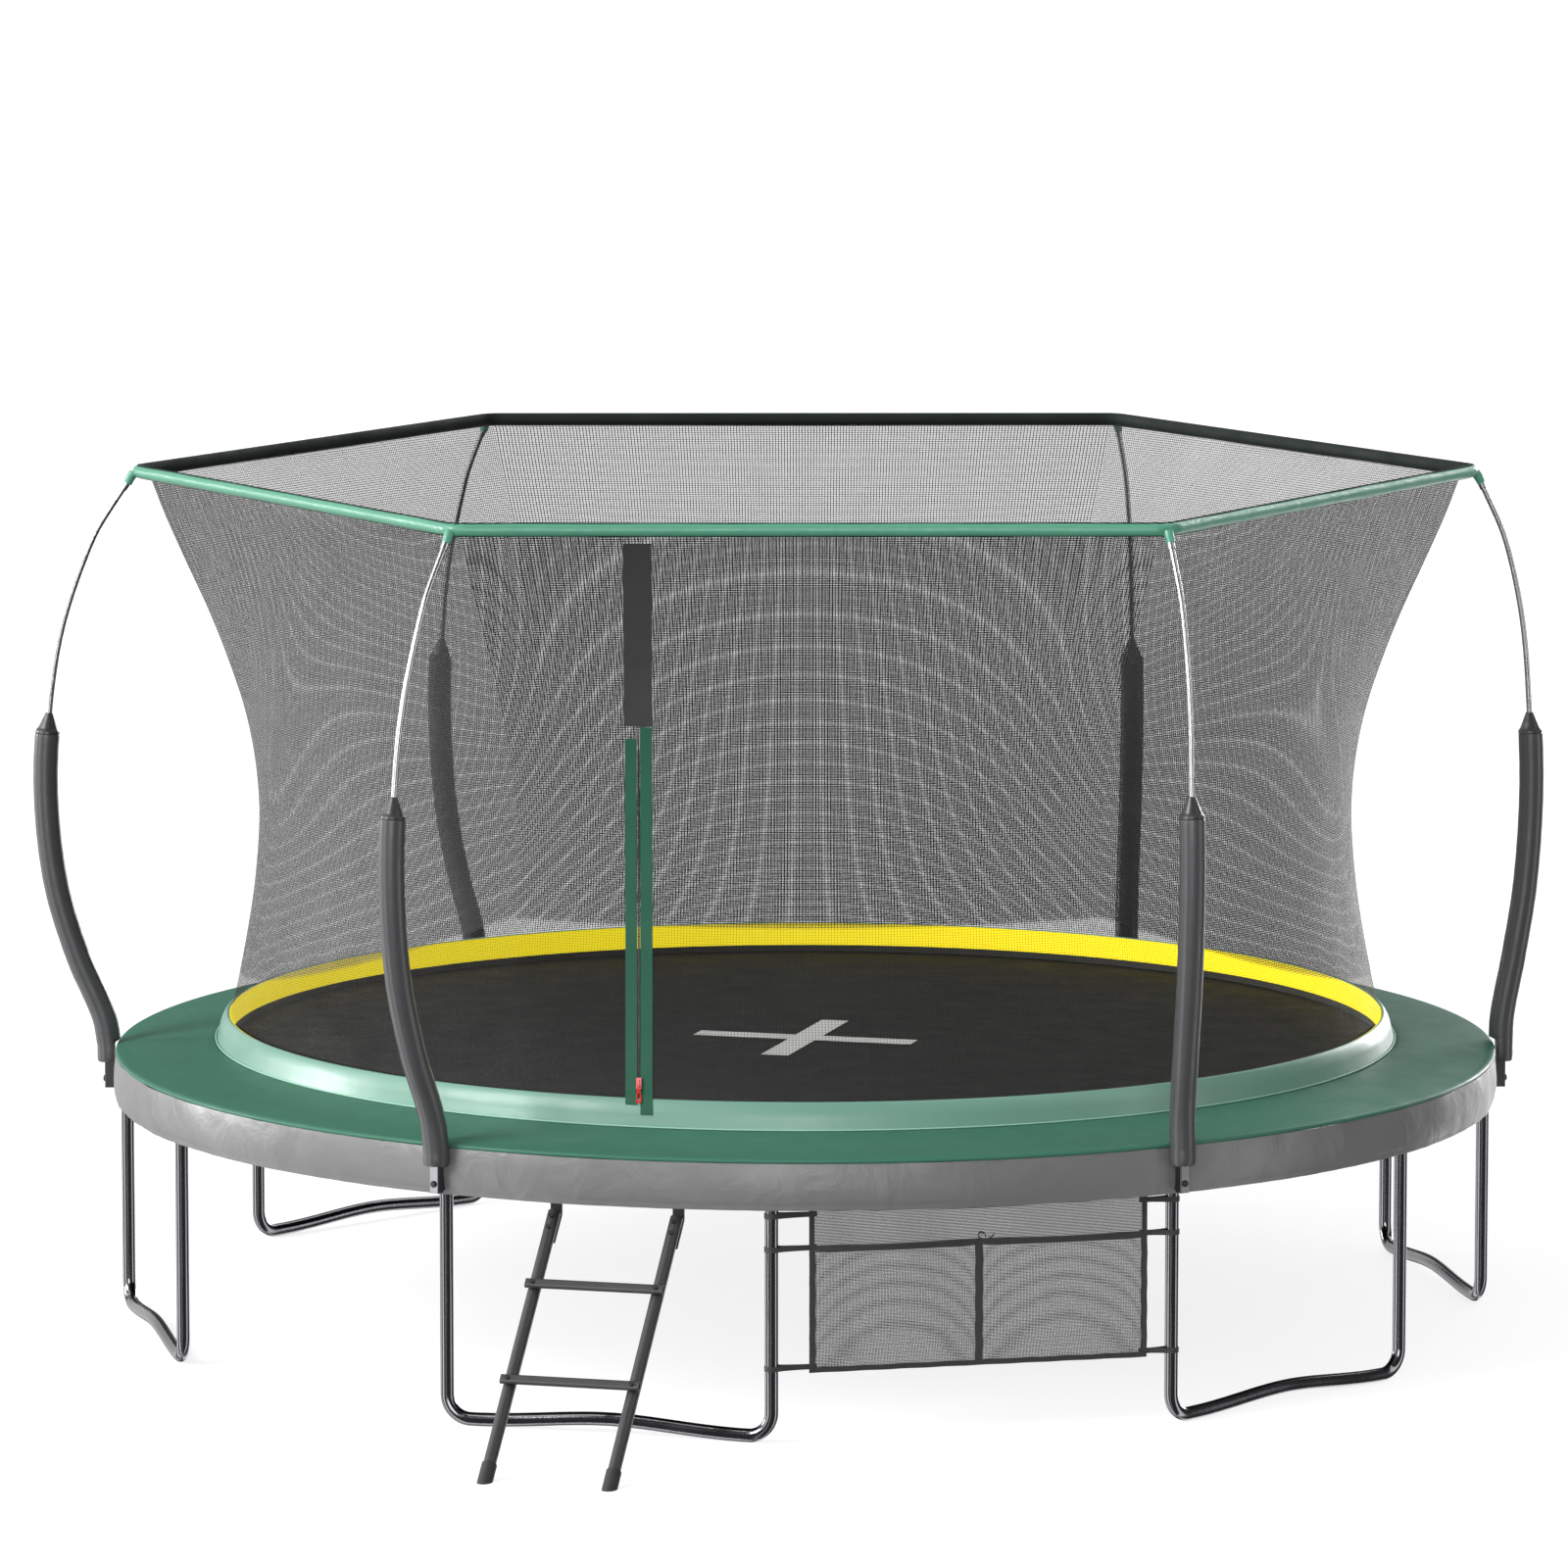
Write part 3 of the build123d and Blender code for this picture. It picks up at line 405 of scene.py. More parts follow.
@dataclass(frozen=True)
class Woven(Finish):
    """Cloth on its own UV map: two sets of threads, soft creases and, if asked, seams along both edges."""

    thread_mm: float = 1.6
    weave: float = 0.25
    weave_tint: float = 0.25
    crease_mm: float = 90.0
    crease: float = 0.25
    seam_width_mm: float = 0.0
    seam_in_mm: float = 4.0
    stitch_mm: float = 4.0
    thread_colour: str = "#202020"

    def threads(self, tree: bpy.types.NodeTree, where: bpy.types.NodeSocket) -> bpy.types.NodeSocket:
        """Height of crossing threads.

        Args:
            tree: the node tree.
            where: UV coordinates in metres.
        Returns:
            A socket from 0, between threads, to 1, on top of one.
        """
        scale = BAND * 1000.0 / self.thread_mm
        warp = add(tree, "ShaderNodeTexWave", {"bands_direction": "X", "Scale": scale}, {"Vector": where})
        weft = add(tree, "ShaderNodeTexWave", {"bands_direction": "Y", "Scale": scale}, {"Vector": where})
        return add(tree, "ShaderNodeMath", {"operation": "MULTIPLY"},
                   {0: warp.outputs["Fac"], 1: weft.outputs["Fac"]}).outputs[0]

    def stitches(self, tree: bpy.types.NodeTree, where: bpy.types.NodeSocket) -> bpy.types.NodeSocket:
        """Dashed lines of stitching near both long edges.

        Args:
            tree: the node tree.
            where: UV coordinates in metres, with V across the strip.
        Returns:
            A socket that is 1 on a stitch.
        """
        parts = add(tree, "ShaderNodeSeparateXYZ", links={0: where})
        half = self.seam_width_mm * MM / 2
        across = add(tree, "ShaderNodeMath", {"operation": "SUBTRACT", 1: half}, {0: parts.outputs[1]})
        away = add(tree, "ShaderNodeMath", {"operation": "ABSOLUTE"}, {0: across.outputs[0]})
        line = add(tree, "ShaderNodeMath", {"operation": "COMPARE", 1: half - self.seam_in_mm * MM, 2: 0.0006},
                   {0: away.outputs[0]})
        dash = add(tree, "ShaderNodeMath", {"operation": "PINGPONG", 1: self.stitch_mm * MM},
                   {0: parts.outputs[0]})
        on = add(tree, "ShaderNodeMath", {"operation": "GREATER_THAN", 1: self.stitch_mm * MM * 0.3},
                 {0: dash.outputs[0]})
        return add(tree, "ShaderNodeMath", {"operation": "MULTIPLY"},
                   {0: line.outputs[0], 1: on.outputs[0]}).outputs[0]

    def build(self) -> bpy.types.Material:
        """Build the material.

        Returns:
            The new material.
        """
        made, tree, shader = self.start()
        coords = add(tree, "ShaderNodeTexCoord")
        mix = self.patches(tree, coords.outputs["Object"], shader)
        threads = self.threads(tree, coords.outputs["UV"])
        tint = add(tree, "ShaderNodeMapRange", {"To Min": 1.0 - self.weave_tint, "To Max": 1.0},
                   {"Value": threads})
        deep = add(tree, "ShaderNodeMix", {"data_type": "RGBA", "blend_type": "MULTIPLY", 0: 1.0},
                   {6: mix.outputs[2], 7: tint.outputs[0]})
        colour = deep.outputs[2]
        height = threads
        if self.seam_width_mm:
            on = self.stitches(tree, coords.outputs["UV"])
            colour = add(tree, "ShaderNodeMix", {"data_type": "RGBA", 7: linear(self.thread_colour)},
                         {0: on, 6: colour}).outputs[2]
            height = add(tree, "ShaderNodeMath", {"operation": "ADD"}, {0: threads, 1: on}).outputs[0]
        tree.links.new(colour, shader.inputs["Base Color"])
        crease = add(tree, "ShaderNodeTexNoise", {"Scale": 1000.0 / self.crease_mm, "Detail": 5.0,
                                                  "Distortion": 0.6},
                     {"Vector": coords.outputs["Object"]})
        soft = add(tree, "ShaderNodeBump", {"Strength": self.crease, "Distance": 0.012},
                   {"Height": crease.outputs["Fac"]})
        fine = add(tree, "ShaderNodeBump", {"Strength": self.weave, "Distance": 0.0005},
                   {"Height": height, "Normal": soft.outputs[0]})
        tree.links.new(fine.outputs[0], shader.inputs["Normal"])
        return made


@dataclass(frozen=True)
class Mesh(Finish):
    """Knitted see-through mesh: crossing threads with open holes, wider open near its foot if asked."""

    pitch_mm: Tuple[float, float] = (8.0, 6.4)
    hold: float = 0.72
    hold_low: float = 0.72
    low_from: float = 0.3
    low_to: float = 0.6
    side_from: float = 0.74
    side_fall: float = 0.0
    fine: int = 0
    fine_hold: float = 0.9
    fine_low: float = 0.9

    def level(self, tree: bpy.types.NodeTree, height: bpy.types.NodeSocket, low: float,
              high: float) -> bpy.types.NodeSocket:
        """Threshold that turns waves into threads, changing from the foot upwards.

        Args:
            tree: the node tree.
            height: height above the foot in metres.
            low: threshold at the foot.
            high: threshold further up.
        Returns:
            The threshold socket.
        """
        return add(tree, "ShaderNodeMapRange", {
            "interpolation_type": "SMOOTHSTEP", "From Min": self.low_from, "From Max": self.low_to,
            "To Min": low, "To Max": high}, {"Value": height}).outputs[0]

    def threads(self, tree: bpy.types.NodeTree, where: bpy.types.NodeSocket, share: int,
                level: bpy.types.NodeSocket) -> Tuple[bpy.types.NodeSocket, bpy.types.NodeSocket]:
        """Crossing threads.

        Args:
            tree: the node tree.
            where: UV coordinates in metres.
            share: how many threads fit in one pitch.
            level: threshold socket.
        Returns:
            How much a thread covers, and the threads' height.
        """
        waves = [add(tree, "ShaderNodeTexWave", {"bands_direction": way, "Scale": BAND * 1000.0 * share / pitch},
                     {"Vector": where}).outputs["Fac"] for way, pitch in zip("XY", self.pitch_mm)]
        top = add(tree, "ShaderNodeMath", {"operation": "MAXIMUM"}, {0: waves[0], 1: waves[1]}).outputs[0]
        above = add(tree, "ShaderNodeMath", {"operation": "SUBTRACT"}, {0: top, 1: level})
        cover = add(tree, "ShaderNodeMapRange", {"interpolation_type": "SMOOTHSTEP", "From Min": -0.03,
                                                 "From Max": 0.03}, {"Value": above.outputs[0]})
        return cover.outputs[0], top

    def build(self) -> bpy.types.Material:
        """Build the material.

        Returns:
            The new material.
        """
        made, tree, shader = self.start()
        coords = add(tree, "ShaderNodeTexCoord")
        self.patches(tree, coords.outputs["Object"], shader)
        where = coords.outputs["UV"]
        height = add(tree, "ShaderNodeSeparateXYZ", links={0: where}).outputs[1]
        if self.side_fall:
            across = add(tree, "ShaderNodeSeparateXYZ", links={0: coords.outputs["Object"]}).outputs[0]
            away = add(tree, "ShaderNodeMath", {"operation": "ABSOLUTE"}, {0: across}).outputs[0]
            fall = add(tree, "ShaderNodeMapRange", {
                "From Min": self.side_from, "From Max": self.side_from + 1.0,
                "To Max": self.side_fall}, {"Value": away}).outputs[0]
            height = add(tree, "ShaderNodeMath", {"operation": "ADD"}, {0: height, 1: fall}).outputs[0]
        cover, top = self.threads(tree, where, 1, self.level(tree, height, self.hold_low, self.hold))
        if self.fine:
            small, _ = self.threads(tree, where, self.fine, self.level(tree, height, self.fine_low,
                                                                      self.fine_hold))
            cover = add(tree, "ShaderNodeMath", {"operation": "MAXIMUM"}, {0: cover, 1: small}).outputs[0]
        tree.links.new(cover, shader.inputs["Alpha"])
        bump = add(tree, "ShaderNodeBump", {"Strength": 0.3, "Distance": 0.0008}, {"Height": top})
        tree.links.new(bump.outputs[0], shader.inputs["Normal"])
        return made


class Finishes(Enum):
    """Every finish on the trampoline, by the record's material slot."""

    # stands in for black gloss enamel: a metallic mid-grey that shows the dark room with bright streaks
    steel_black = Finish("gloss_enamel_on_steel", "#77777a", "#66666a", rough=0.15, rough_span=0.04,
                         metallic=1.0, grain_mm=14, grain_deep=0.05)
    # zinc plate: dull silver with a faint spangle
    zinc = Finish("zinc_plate", "#a9adb0", "#8f9497", rough=0.36, metallic=1.0, grain_mm=3, grain_deep=0.2,
                  patch_mm=20)
    # drawn aluminium rod: even satin silver
    rod_silver = Finish("drawn_aluminium", "#b9bbbd", "#a3a5a8", rough=0.28, metallic=1.0, grain_mm=0.8,
                        grain_deep=0.1, patch_mm=60)
    # galvanised spring wire
    spring_steel = Finish("galvanised_wire", "#9da1a4", "#7f8386", rough=0.34, metallic=1.0, grain_mm=2,
                          grain_deep=0.1, patch_mm=15)
    # closed-cell foam tube in a thin vinyl skin: charcoal with a soft sheen
    foam_black = Finish("foam_in_vinyl_skin", "#424244", "#38383a", rough=0.36, rough_span=0.05,
                        grain_mm=4, grain_deep=0.25, patch_mm=60)
    # moulded polypropylene: dark satin with a spark-eroded texture
    cap_plastic = Finish("moulded_polypropylene", "#2b2b2d", "#222224", rough=0.38, grain_mm=1.0,
                         grain_deep=0.2, patch_mm=30)
    # vinyl-coated polyester over foam: deep green top
    pad_green = Woven("vinyl_coated_cloth_green", "#366956", "#326350", rough=0.48, specular=0.2,
                      thread_mm=1.5, weave=0.1, weave_tint=0.06, crease_mm=160, crease=0.12, coat=0.05)
    # the pad's green vinyl in a lighter, whiter tone: painted light and sheen that the sloping collar catches
    collar_mint = Woven("vinyl_coated_cloth_green_painted_lit", "#658e7e", "#5f8878", rough=0.38, thread_mm=1.5,
                        weave=0.1, weave_tint=0.05, crease_mm=140, crease=0.1, coat=0.05)
    piping_green = Woven("sewn_cord_edge", "#93c4b0", "#86b8a3", rough=0.5, thread_mm=2.0, weave=0.3,
                         weave_tint=0.15, crease=0.05)
    # vivid yellow with painted light: an emission in its own colour makes the band glow, brightening it in the shade
    # behind the net
    band_yellow = Woven("vinyl_coated_cloth_yellow_painted_glow", "#fbe512", "#f6dc0a", rough=0.55, thread_mm=7.0,
                        weave=0.25, weave_tint=0.12, crease_mm=120, crease=0.1, seam_width_mm=62.0,
                        glow=0.55, seam_in_mm=4.0, thread_colour="#c8b20c")
    strip_dark = Woven("woven_tape_dark", "#2c2b24", "#24231e", rough=0.7, thread_mm=2.0)
    # light coated polyester: even grey with soft creases and pressed seams
    skirt_grey = Woven("light_coated_polyester_grey", "#6a6a6a", "#636363", rough=0.38, thread_mm=1.2,
                       weave=0.08, weave_tint=0.05, crease_mm=110, crease=0.5)
    # woven polypropylene jumping mesh: near black with a dry sheen
    mat_black = Woven("woven_polypropylene_black", "#222221", "#1c1c1b", rough=0.8, specular=0.15,
                      thread_mm=4.0, weave=0.3, weave_tint=0.35, crease_mm=400, crease=0.05)
    mark_grey = Woven("woven_polypropylene_grey", "#fafaf7", "#f0f0ed", rough=0.6, thread_mm=9.0,
                      weave=0.3, weave_tint=0.3, crease=0.05)
    web_black = Woven("polyester_webbing", "#2e2e2e", "#272727", rough=0.62, thread_mm=2.2, weave=0.5,
                      weave_tint=0.35, crease=0.08, sheen=0.1)
    # cut edge binding inside the ring: near black with a green cast
    hem_dark = Woven("bound_hem_dark", "#141d19", "#101814", rough=0.8, specular=0.2, thread_mm=2.0)
    # polyethylene netting: charcoal ribs with fine threads between them
    net_mesh = Mesh("knotted_polyethylene_net", "#1f1f1f", "#1a1a1a", rough=0.6, specular=0.3, hold=0.92,
                    hold_low=0.92, fine=4, fine_hold=0.885, fine_low=0.885)
    # stand-in for the front sides: the same net made almost clear near its foot, with a hard upper edge
    net_door = Mesh("knotted_net_open_foot", "#1f1f1f", "#1a1a1a", rough=0.6, specular=0.3, hold=0.92,
                    hold_low=0.985, low_from=0.424, low_to=0.438,
                    side_fall=0.42, fine=4, fine_hold=0.885, fine_low=0.997)
    sleeve_mint = Woven("satin_polyester_sleeve", "#4f9076", "#48876e", rough=0.36, thread_mm=1.5,
                        weave=0.1, weave_tint=0.08, crease_mm=60, crease=0.25)
    zip_green = Woven("ribbed_zip_tape", "#235945", "#1f513e", specular=0.2, rough=0.6,
                      thread_mm=2.4, weave=0.5, weave_tint=0.2, crease=0.1)
    zip_chain = Finish("moulded_zip_teeth", "#1b201e", "#151817", rough=0.35, grain_mm=1.0, patch_mm=20)
    slider_red = Finish("gloss_red_moulding", "#d32219", "#bb1a13", rough=0.22, coat=0.4, grain_mm=2,
                        grain_deep=0.08, patch_mm=10)
    # powder coat: dark grey, slightly pebbled
    ladder_grey = Finish("powder_coat_dark_grey", "#2c2c2e", "#262628", rough=0.42, grain_mm=1.2,
                         grain_deep=0.35, patch_mm=80)
    rubber_black = Finish("moulded_rubber", "#1b1b1b", "#232323", rough=0.7, grain_mm=1.5, grain_deep=0.4)
    bag_mesh = Mesh("warp_knit_bag_mesh", "#2a2a2a", "#242424", rough=0.6, pitch_mm=(7.6, 11.0), hold=0.965,
                    hold_low=0.965, low_from=0.300, low_to=0.312, fine=3, fine_hold=0.50, fine_low=0.79)
    # the pockets are a finer, softer knit
    pocket_mesh = Mesh("fine_knit_pocket_mesh", "#2a2a2a", "#242424", rough=0.6, pitch_mm=(1.9, 1.9),
                       hold=0.85, hold_low=0.85)
    bolt_black = Finish("blackened_steel", "#232325", "#2e2e30", rough=0.32, metallic=0.7, grain_mm=1.2,
                        patch_mm=6)


_MADE: Dict[str, bpy.types.Material] = {}


def dress(obj: bpy.types.Object, slot: str, finish: str = "") -> bpy.types.Object:
    """Give an object one finish, chosen by its slot or by a finish of its own.

    Args:
        obj: the piece.
        slot: the record's material slot.
        finish: a finish of its own, where it differs from the slot's.
    Returns:
        The same piece.
    """
    key = finish or slot
    if key not in _MADE:
        _MADE[key] = Finishes[key].value.build()
    obj.data.materials.clear()
    obj.data.materials.append(_MADE[key])
    return obj


def seat(obj: bpy.types.Object, slot: str, body: str, nodes: Sequence[str] = (),
         finish: str = "") -> bpy.types.Object:
    """Dress a finished piece, put it on its body and let it stand for solids.

    Args:
        obj: the piece, in place.
        slot: the record's material slot.
        body: the body it rides on.
        nodes: the solids it stands for.
        finish: a finish of its own, where it differs from the slot's.
    Returns:
        The same piece.
    """
    set_place(obj)
    dress(obj, slot, finish)
    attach(obj, body)
    if nodes:
        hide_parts(*nodes)
    LOG.info("piece %s on %s: %d faces", obj.name, body, len(obj.data.polygons))
    return obj


# ------------------------------------------------------------------ shared shape of the net and its door
@dataclass
class NetShape:
    """Round at the foot and waist, six-sided at the top; its front door lies on one arc."""

    foot_z: float = 0.813
    top_z: float = 2.226
    foot_r: float = 1.529
    side_top: float = 1.522
    door_x: float = -0.426
    arc_r: float = 2.180
    corner: Tuple[Tuple[float, float], ...] = (
        (0.813, 1.529), (0.881, 1.513), (1.080, 1.476), (1.210, 1.460), (1.343, 1.453), (1.475, 1.463),
        (1.605, 1.488), (1.737, 1.530), (1.867, 1.580), (2.000, 1.640), (2.130, 1.697), (2.226, 1.733))

    def arc_y(self, z: float) -> float:
        """Distance in front of the axis of the door's centre line at a height."""
        foot = math.sqrt(self.foot_r**2 - self.door_x**2)
        dz = self.top_z - self.foot_z
        chord = math.hypot(dz, self.side_top - foot)
        lean = (self.side_top - foot) / dz
        deep = math.sqrt(self.arc_r**2 - chord**2 / 4)
        cz = (self.top_z + self.foot_z) / 2 - deep * lean * dz / chord
        cy = (self.side_top + foot) / 2 + deep * dz / chord
        return cy - math.sqrt(self.arc_r**2 - (z - cz)**2)

    @staticmethod
    def share(off: float) -> float:
        """Share of the corner's radius at an angle off the middle of a side."""
        return ((1 / math.cos(math.radians(off)) - 1) / (1 / math.cos(math.radians(30)) - 1))

    def radius(self, angle: float, z: float) -> float:
        """Radius of the net at an angle and a height."""
        corner = smooth(self.corner, z)
        y = self.arc_y(z)
        share = self.share(math.degrees(math.atan2(-self.door_x, y)))
        side = (math.hypot(y, self.door_x) - corner * share) / (1 - share)
        return side + (corner - side) * self.share((angle % 60.0) - 30.0)

    def at_x(self, x: float, z: float, off: float) -> Vector:
        """Point on the front of the net at a sideways place, moved outwards."""
        angle = 270.0
        for _ in range(20):
            angle = 270.0 - math.degrees(math.asin(-x / self.radius(angle, z)))
        return polar(self.radius(angle, z) + off, angle, z)


@dataclass
class RimShape:
    """Profile of the pad and of the raised collar, as radius and height."""

    pad_out: float = 1.836
    seam_r: float = 1.568
    seam_z: float = 0.741
    collar_in: float = 1.533
    rim_z: float = 0.811
    collar: Tuple[Tuple[float, float], ...] = (
        (0.743, 1.5672), (0.768, 1.561), (0.794, 1.552), (0.811, 1.538))

    def collar_r(self, z: float) -> float:
        """Outside radius of the collar at a height."""
        return smooth(self.collar, z)


@dataclass
class RingShape:
    """Centre line of the top ring: a hexagon with rounded corners."""

    corner: float = 1.773
    height: float = 2.244
    round_r: float = 0.060

    def hex_radius(self, angle: float) -> float:
        """Distance of the ring's centre line from the axis."""
        off = (angle + 30.0) % 60.0 - 30.0
        centre = self.corner - self.round_r / math.cos(math.radians(30))
        sine = centre * math.sin(math.radians(off))
        if abs(sine) < self.round_r * 0.5:
            return centre * math.cos(math.radians(off)) + math.sqrt(self.round_r**2 - sine**2)
        return self.corner * math.cos(math.radians(30)) / math.cos(math.radians(30 - abs(off)))


NET = NetShape()
RIM = RimShape()
RING = RingShape()


# ------------------------------------------------------------------ sub-assemblies
@dataclass
class HardParts:
    """Tubes, sockets, rods, bolts and fittings that keep their own shape and only take a finish."""

    slots: Dict[str, str] = field(default_factory=lambda: {
        s["node"]: s["material_slot"] for s in frame["record"]["subparts"]})
    own: Dict[str, str] = field(default_factory=lambda: {"rod_ferrules": "rod_silver"})

    def build(self) -> None:
        """Dress every solid; the ones that a soft piece stands for are hidden later."""
        for node, obj in frame["nodes"].items():
            dress(obj, self.slots[node], self.own.get(node, ""))
            LOG.info("dressed %s as %s", node, self.slots[node])


@dataclass
class Net:
    """Six panels of netting from the padded rim to the top ring."""

    columns: int = 30
    rows: int = 40
    pleat: float = 0.0012
    pleats: int = 9
    tuck: Tuple[float, float] = (0.0117, 0.0117)

    def point(self, angle: float, z: float, k: int) -> Vector:
        """Point of panel k, with small pleats that die away from both hems."""
        high = (z - NET.foot_z) / (NET.top_z - NET.foot_z)
        near = math.exp(-high * 14) + math.exp(-(1 - high) * 14)
        wave = math.sin(math.radians(angle) * self.pleats * 6 + k) * self.pleat * near
        return polar(NET.radius(angle, z) - 0.0007 + wave * 0.5, angle, z)

    def build(self) -> None:
        """Build and dress the panels."""
        for k in range(6):
            angles = steps(60 * k, 60 * (k + 1), self.columns)
            rows = [[self.point(a, z, k) for a in angles] for z in steps(NET.foot_z, NET.top_z, self.rows)]
            rows.append([polar(RING.hex_radius(a) - self.tuck[0], a, RING.height - self.tuck[1])
                         for a in angles])
            panel, cut = grid(f"net_side_{k + 1}", rows)
            seat(panel, "net_mesh", "root", [f"net_panel_{k + 1}"], "net_door" if k in (3, 4, 5) else "")


@dataclass
class Door:
    """Webbing, two zip tapes and the teeth of the zip, all on the door's arc."""

    outer: float = 0.0335
    inner: float = 0.0042
    join_z: float = 1.735
    off: float = 0.0009
    thick: float = 0.0012
    tooth_pitch: float = 0.0034
    zip_foot: float = 0.828
    zip_top: float = 1.678

    def strip(self, name: str, slot: str, node: str, x: Tuple[float, float],
              levels: Sequence[Tuple[float, float]]) -> None:
        """Cloth strip on the front of the net.

        Args:
            name: the piece's name.
            slot: its finish.
            node: the solid it stands for.
            x: sideways place of its two edges.
            levels: heights, each with the radius it lies at or zero for the net's own.
        """
        rows = []
        for share in steps(0.0, 1.0, 6):
            at = x[0] + (x[1] - x[0]) * share
            row = []
            for z, radius in levels:
                if radius:
                    angle = 270.0 - math.degrees(math.asin(-at / radius))
                    row.append(polar(radius, angle, z))
                else:
                    row.append(NET.at_x(at, z, self.off))
            rows.append(row)
        strip, cut = grid(name, rows)
        modifier(strip, "SOLIDIFY", thickness=self.thick, offset=0.0)
        modifier(strip, "BEVEL", width=0.0003, segments=1, limit_method="ANGLE")
        outwards(strip)
        soften(strip)
        seat(strip, slot, "root", [node])

    def tail(self, z_end: float, z_top: float) -> List[Tuple[float, float]]:
        """Heights and radii of a tape from its end on the collar up to z_top."""
        below = [(z, RIM.collar_r(z) + 0.0017) for z in steps(z_end, 0.803, 5)]
        over = [(0.8150, 1.5415), (0.8210, 1.5335)]
        return below + over + [(z, 0.0) for z in steps(0.829, z_top, 36)]

    def teeth(self) -> None:
        """One moulded tooth, copied along the arc on both sides of the gap."""
        deselect()
        bpy.ops.mesh.primitive_cube_add(size=1.0)
        tooth = bpy.context.active_object
        tooth.scale = (0.0062, 0.0026, 0.0030)
        set_place(tooth)
        modifier(tooth, "BEVEL", width=0.0006, segments=1)
        places = []
        count = int((self.zip_top - self.zip_foot) / self.tooth_pitch)
        for i in range(count):
            z = self.zip_foot + self.tooth_pitch * (i + 0.5)
            y, ahead = NET.arc_y(z), NET.arc_y(z + 0.001)
            tilt = math.atan2(ahead - y, 0.001)
            side = 0.0004 if i % 2 else -0.0004
            places.append(Matrix.Translation((NET.door_x + side, -y - 0.0016, z))
                          @ Matrix.Rotation(tilt, 4, "X"))
        chain = scatter("zip_teeth", tooth, places)
        soften(chain)
        seat(chain, "zip_chain", "root", ["zip_chain"])

    def build(self) -> None:
        """Build the strips and the teeth."""
        x = NET.door_x
        self.strip("door_webbing_strip", "web_black", "door_webbing", (x - 0.036, x + 0.035),
                   [(z, 0.0) for z in steps(self.join_z + 0.002, NET.top_z - 0.018, 20)])
        self.strip("zip_tape_strip_left", "zip_green", "zip_tape_left", (x - self.outer, x - self.inner),
                   self.tail(0.796, self.join_z - 0.030))
        self.strip("zip_tape_strip_right", "zip_green", "zip_tape_right",
                   (x + self.inner, x + self.outer + 0.001), self.tail(0.773, self.join_z))
        self.teeth()


